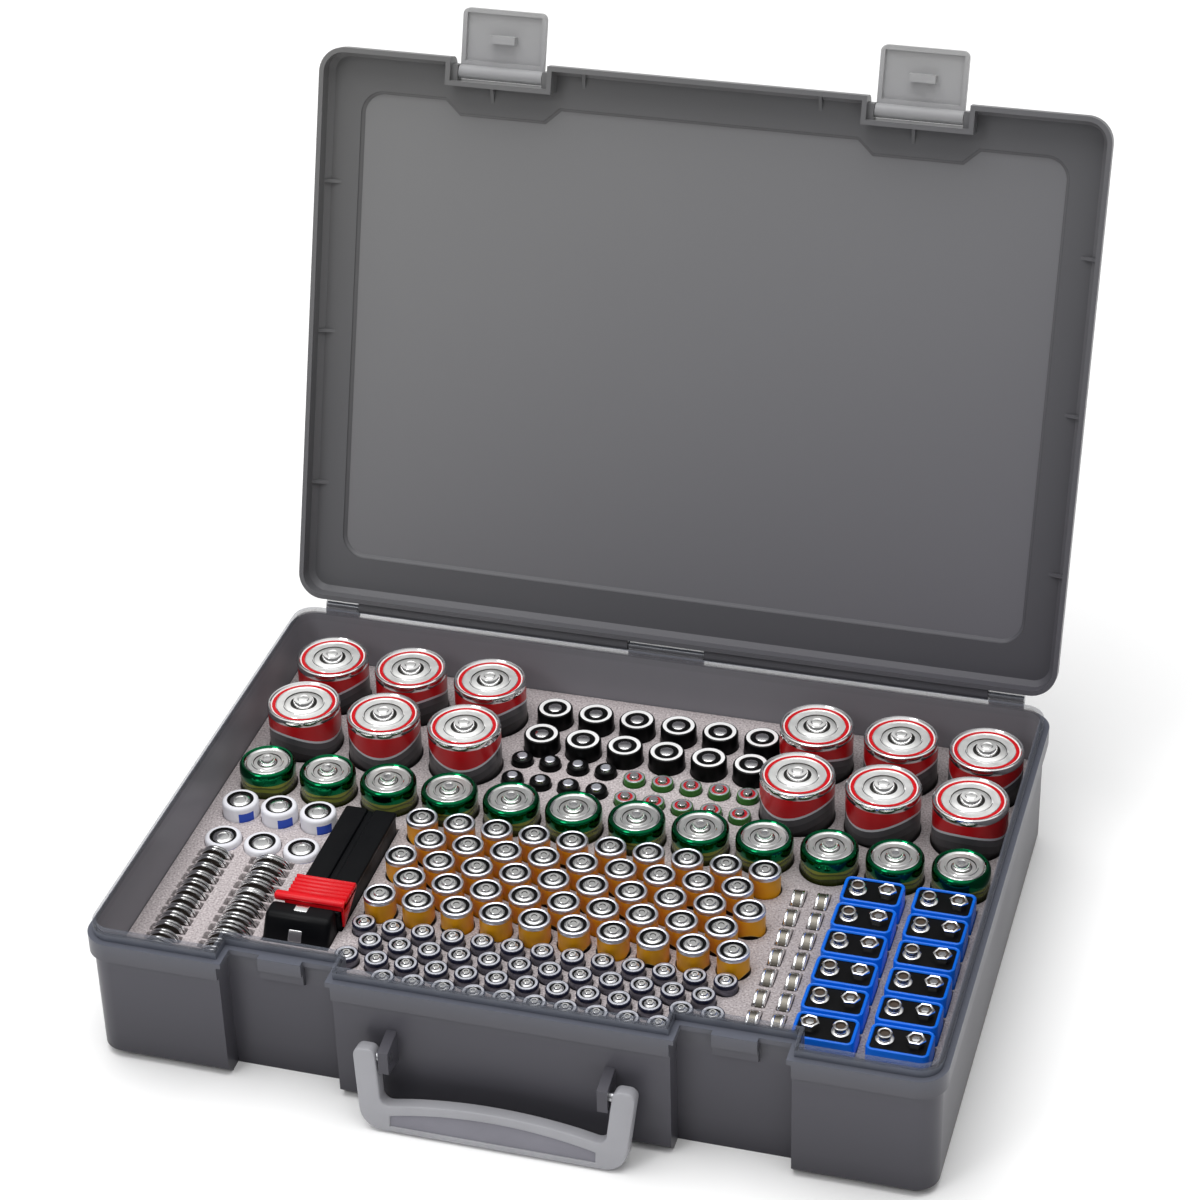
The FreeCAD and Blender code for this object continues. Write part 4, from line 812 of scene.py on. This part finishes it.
def make_tester_body(black):
    """Tester's body, with a groove along its top."""
    low, high = box("tester_body")
    middle, half_groove, crown = (low.x + high.x) / 2, 1.5, 1.2
    block_edge, ridge_edge = 0.8, 0.7
    block = rectangle(low.x, high.x, low.y, high.y, corner=3.0)
    flat_piece("tester_body_detail", [block], low.z, high.z - crown, block_edge, black, "case",
               ["tester_body"])
    ridges = (("left", low.x, middle - half_groove), ("right", middle + half_groove, high.x))
    for name, x_low, x_high in ridges:
        ridge = rectangle(x_low, x_high, low.y, high.y, corner=1.4)
        flat_piece(f"tester_top_{name}", [ridge], high.z - 2 * crown, high.z, ridge_edge, black, "case")


def make_tester_nose(black, bright):
    """Tester's nose, which slopes back from foot to brow, and the two metal strips set in it."""
    low, high = box("tester_nose")
    top, brow_round, edge = high.z + NOSE_RISE, 3.5, 2.2
    side = rounded([
        (NOSE_FOOT, low.z, 0), (high.y, low.z, 0), (high.y, top, 0), (NOSE_BROW, top, brow_round),
        (NOSE_FOOT, FOAM_TOP, 0),
    ])
    flat_piece("tester_nose_detail", [side], low.x, high.x, edge, black, "case",
               ["tester_nose"], FACING_SIDE)

    sunk, proud, edge = 0.4, 0.45, 0.15
    strip_start, strip_share = 0.1, 0.42
    strip_low, strip_high = box("tester_front_contact")
    slope = Vector((0, NOSE_BROW - NOSE_FOOT, top - FOAM_TOP))
    foot = Vector((0, NOSE_FOOT, FOAM_TOP)) + slope * strip_start
    lean = Matrix.Translation(foot) @ Matrix.Rotation(-math.atan2(slope.y, slope.z), 4, "X") @ FACING_FRONT
    strip = rectangle(strip_low.x, strip_high.x, 0, slope.length * strip_share, corner=0.5)
    flat_piece("tester_front_strip", [strip], -sunk, proud, edge, bright, "case",
               ["tester_front_contact"], lean)
    strip_low, strip_high = box("tester_top_contact")
    strip = rectangle(strip_low.x, strip_high.x, NOSE_BROW + brow_round, high.y, corner=0.4)
    flat_piece("tester_top_strip", [strip], top - sunk, top + sunk, edge, bright, "case",
               ["tester_top_contact"])


def make_slider(red):
    """Slider of the tester: a ribbed saddle, a skirt at each side and a bar to push."""
    low, high = box("tester_slider")
    skirt_foot, plate_foot, side_wall, overlap = 41.8, 49.8, 1.2, 1.5
    ribs, bar, rib_depth = 5, 4.5, 1.7
    saddle_edge, skirt_edge, bar_edge = 0.5, 0.3, 1.2
    pitch = (high.y - low.y - bar) / ribs
    left = box("tester_body")[0].x - overlap
    saddle = [
        (low.y, plate_foot), (low.y, high.z - 1.6), (low.y + 1.2, high.z - 0.3), (low.y + 2.4, high.z),
        (low.y + bar - 0.9, high.z - 0.4), (low.y + bar, high.z - rib_depth),
    ]
    for number in range(ribs):
        start = low.y + bar + number * pitch
        for share, drop in ((0.0, rib_depth), (0.22, 0.5), (0.5, 0.0), (0.78, 0.5)):
            saddle.append((start + share * pitch, high.z - drop))
    saddle += [(high.y, high.z - rib_depth), (high.y, plate_foot)]
    flat_piece("tester_slider_detail", [saddle], left, high.x, saddle_edge, red, "tester_slider",
               ["tester_slider"], FACING_SIDE)
    skirt = [(low.y, high.z - 2.0), (low.y, skirt_foot), (high.y, plate_foot + 1.0), (high.y, high.z - 2.0)]
    for name, x in (("left", left), ("right", high.x - side_wall)):
        flat_piece(f"slider_skirt_{name}", [skirt], x, x + side_wall, skirt_edge, red, "tester_slider",
                   matrix=FACING_SIDE)
    thumb = rectangle(low.y, low.y + bar, plate_foot, high.z, corner=1.8)
    flat_piece("slider_bar", [thumb], low.x, high.x, bar_edge, red, "tester_slider",
               matrix=FACING_SIDE)


def make_handle(plastic, panel):
    """Handle bow, leaning out as it rests, with round edges and a sunken grip panel."""
    outer, inner, top, low = 60.4, 50.6, 4.5, -33.2
    outer_splay, inner_splay, arch, crown = 3.9, 2.5, -21.7, 5.0
    top_round, bend, inner_bend, half_thick, edge = 3.5, 10.0, 4.0, 3.42, 0.8
    low_outer, low_inner = outer - outer_splay, inner - inner_splay
    corners = [
        (-outer, top, top_round), (-low_outer, low, bend), (low_outer, low, bend), (outer, top, top_round),
        (inner, top, top_round), (low_inner, arch, inner_bend),
    ]
    arch_points, taken_by_bend = bowed(-low_inner, low_inner, arch, crown), 3
    corners += [(x, y, 0) for x, y in arch_points[taken_by_bend:-taken_by_bend]]
    corners += [(-low_inner, arch, inner_bend), (-inner, top, top_round)]
    outline = rounded(corners)
    half, border, end, depth, panel_edge = 44.0, 2.5, 4.8, 0.8, 0.1
    grip_low = low + border
    grip = [(-half, grip_low), (half, grip_low)] + bowed(-half, half, grip_low + end, crown)
    place = Matrix.Translation(HANDLE_PIVOT) @ Matrix.Rotation(-HANDLE_LEAN, 4, "X") @ FACING_FRONT
    flat_piece("handle_detail", [outline, grip], -half_thick, half_thick, edge, plastic, "handle",
               ["handle"], place)
    flat_piece("handle_grip", [grip], depth - half_thick, half_thick - depth, panel_edge, panel, "handle",
               matrix=place)


def dress_node(node, material, edge=0.0):
    """Give a CAD node its material and, where a radius is given, rounded edges."""
    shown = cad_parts[node]
    shown.data.materials.clear()
    shown.data.materials.append(material)
    weld = shown.modifiers.new("weld", "WELD")
    weld.merge_threshold = WELD_GAP
    if edge:
        bevel = shown.modifiers.new("edges", "BEVEL")
        bevel.width = edge * MM
        bevel.segments = 2
        bevel.limit_method = "ANGLE"
        bevel.angle_limit = EDGE_ANGLE
        bevel.use_clamp_overlap = True
        shown.modifiers.new("normals", "WEIGHTED_NORMAL")


def make_shells():
    """Smoky base, clear at the edge of its tongue, with painted shade that darkens it towards the bottom
    and painted light on its inner walls, and the lid with its painted light and painted shade.
    """
    # Painted shade: the base's walls are painted darker towards the bottom; the highest stops are the
    # see-through tongue
    stops = [
        (0, "#3d3c42", 1.0), (14, "#4a494f", 1.0), (48, "#54535a", 1.0), (56, "#5c5c62", 1.0),
        (62.0, "#63646c", 0.97), (62.8, "#5d616d", 0.9), (65.6, "#686c76", 0.85), (66.4, "#747883", 0.35),
        (69, "#747883", 0.3),
    ]
    dress_node("base_shell", smoky("smoky_base", stops, depth=0.04, paint_inner_light=True), edge=0.4)
    dress_node("lid_shell", lid_plastic(), edge=0.4)


def make_camera():
    """The photograph's camera."""
    back = Vector((math.sin(AZIMUTH) * math.cos(ELEVATION), -math.cos(AZIMUTH) * math.cos(ELEVATION),
                   math.sin(ELEVATION)))
    right = Vector((math.cos(AZIMUTH), math.sin(AZIMUTH), 0))
    up = back.cross(right)
    tilted_right = right * math.cos(ROLL) + up * math.sin(ROLL)
    tilted_up = up * math.cos(ROLL) - right * math.sin(ROLL)
    eye = TARGET + back * DISTANCE
    matrix = Matrix((tilted_right, tilted_up, back)).transposed().to_4x4()
    matrix.translation = eye * MM
    data = bpy.data.cameras.new("camera")
    data.sensor_width = SENSOR
    data.lens = LENS
    data.clip_start = NEAREST
    data.clip_end = FARTHEST
    camera = bpy.data.objects.new("camera", data)
    camera.matrix_world = matrix
    bpy.context.scene.collection.objects.link(camera)
    bpy.context.scene.camera = camera


def make_lamp(name, place, size, energy):
    """Round soft lamp, aimed at the case; its place and size are in metres."""
    data = bpy.data.lights.new(name, "AREA")
    data.shape = "DISK"
    data.size = size
    data.energy = energy
    lamp = bpy.data.objects.new(name, data)
    lamp.location = place
    lamp.rotation_euler = (LAMP_TARGET - Vector(place)).to_track_quat("-Z", "Y").to_euler()
    bpy.context.scene.collection.objects.link(lamp)


def make_floor():
    """Plain white floor."""
    mesh = bpy.data.meshes.new("floor")
    reach = 12.0
    corners = [(-reach, -reach, 0), (reach, -reach, 0), (reach, reach, 0), (-reach, reach, 0)]
    mesh.from_pydata(corners, [], [(0, 1, 2, 3)])
    floor = bpy.data.objects.new("floor", mesh)
    bpy.context.scene.collection.objects.link(floor)
    shader = Shader("floor_white", Roughness=0.9, Specular_IOR_Level=0.1)
    shader.surface.inputs["Base Color"].default_value = (1, 1, 1, 1)
    mesh.materials.append(shader.material)


def make_room():
    """Surroundings: white behind the case, and a room of greys that metal can mirror."""
    world = bpy.data.worlds.new("room")
    bpy.context.scene.world = world
    world.use_nodes = True
    tree = world.node_tree
    background = tree.nodes["Background"]
    way = tree.nodes.new("ShaderNodeTexCoord")
    axes = tree.nodes.new("ShaderNodeSeparateXYZ")
    tree.links.new(way.outputs["Generated"], axes.inputs[0])
    ramp = tree.nodes.new("ShaderNodeValToRGB")
    set_stops(ramp.color_ramp, [(0.0, 0.3), (0.25, 0.12), (0.55, 0.4), (0.75, 0.9), (1.0, 0.8)])
    tree.links.new(axes.outputs[2], ramp.inputs[0])
    path = tree.nodes.new("ShaderNodeLightPath")
    mix = tree.nodes.new("ShaderNodeMix")
    mix.data_type = "RGBA"
    tree.links.new(path.outputs["Is Camera Ray"], mix.inputs[0])
    tree.links.new(ramp.outputs[0], mix.inputs[6])
    mix.inputs[7].default_value = (1, 1, 1, 1)
    tree.links.new(mix.outputs[2], background.inputs[0])
    background.inputs[1].default_value = 1.0


def make_studio():
    """Floor, surroundings and two lamps."""
    make_floor()
    make_room()
    make_lamp("overhead", place=(-0.3, 0.1, 3.0), size=3.0, energy=62.0)
    make_lamp("key", place=(-0.9, -1.5, 1.6), size=0.8, energy=8.0)
    bpy.context.scene.view_settings.view_transform = "Standard"


def make_object():
    """Every piece of the case, and what it holds."""
    silver = metal("silver", "#dcdcda", rough=0.34)
    bright = metal("bright_silver", "#f2f2f2", rough=0.14)
    dull = metal("dull_silver", "#77736b", rough=0.4)
    steel = metal("pin_steel", "#b9babd", rough=0.3)
    # Dark metal painted as shade in the grooves of the cells' ends
    groove = metal("silver_groove_shade", "#4c4b49", rough=0.4)
    black = moulded("black_plastic", "#060607", rough=0.35, Specular_IOR_Level=0.12)
    # Dark brown painted as shade inside the snaps' hollows
    hollow_shade = moulded("snap_hollow", "#4a3f36", rough=0.4)
    pale = metal("pale_rim", "#dfe1ea", rough=0.35)
    white = moulded("white_print", "#f0f0f0", rough=0.4)
    make_shells()
    make_foam()
    make_large_cells(bright, groove)
    make_middle_cells(silver, bright, groove)
    make_finger_cells(silver, bright, black, pale)
    make_slim_cells(silver, bright, black, pale)
    make_camera_cells(bright, black, white)
    make_short_cells(silver, bright, black, pale)
    make_white_cells(silver, bright, black)
    make_coins(bright, moulded("coin_shade", "#2e2823", rough=0.4))
    make_buttons(bright, dull)
    make_square_cells(black)
    make_snaps(bright, hollow_shade)
    tester_black = moulded("tester_black", "#050609", rough=0.4, Specular_IOR_Level=0.12)
    make_tester_body(tester_black)
    make_tester_nose(tester_black, bright)
    make_slider(moulded("slider_red", "#dc0f1c", rough=0.25))
    grip = moulded("grip_grey", "#87868f", rough=0.45, grain=0.00006)
    make_handle(moulded("handle_grey", "#a5a5aa", rough=0.35), grip)
    clear = smoky("clear_latch", [(300, "#b4b4b6", 0.85), (318, "#a2a2a4", 0.8), (345, "#b0b0b0", 0.85)])
    for side in ("left", "right"):
        dress_node("latch_" + side, clear, edge=0.3)
        dress_node("latch_pin_" + side, steel)
        dress_node("handle_pin_" + side, steel)
    dress_node("hinge_pin", steel)


make_camera()
make_studio()
make_object()
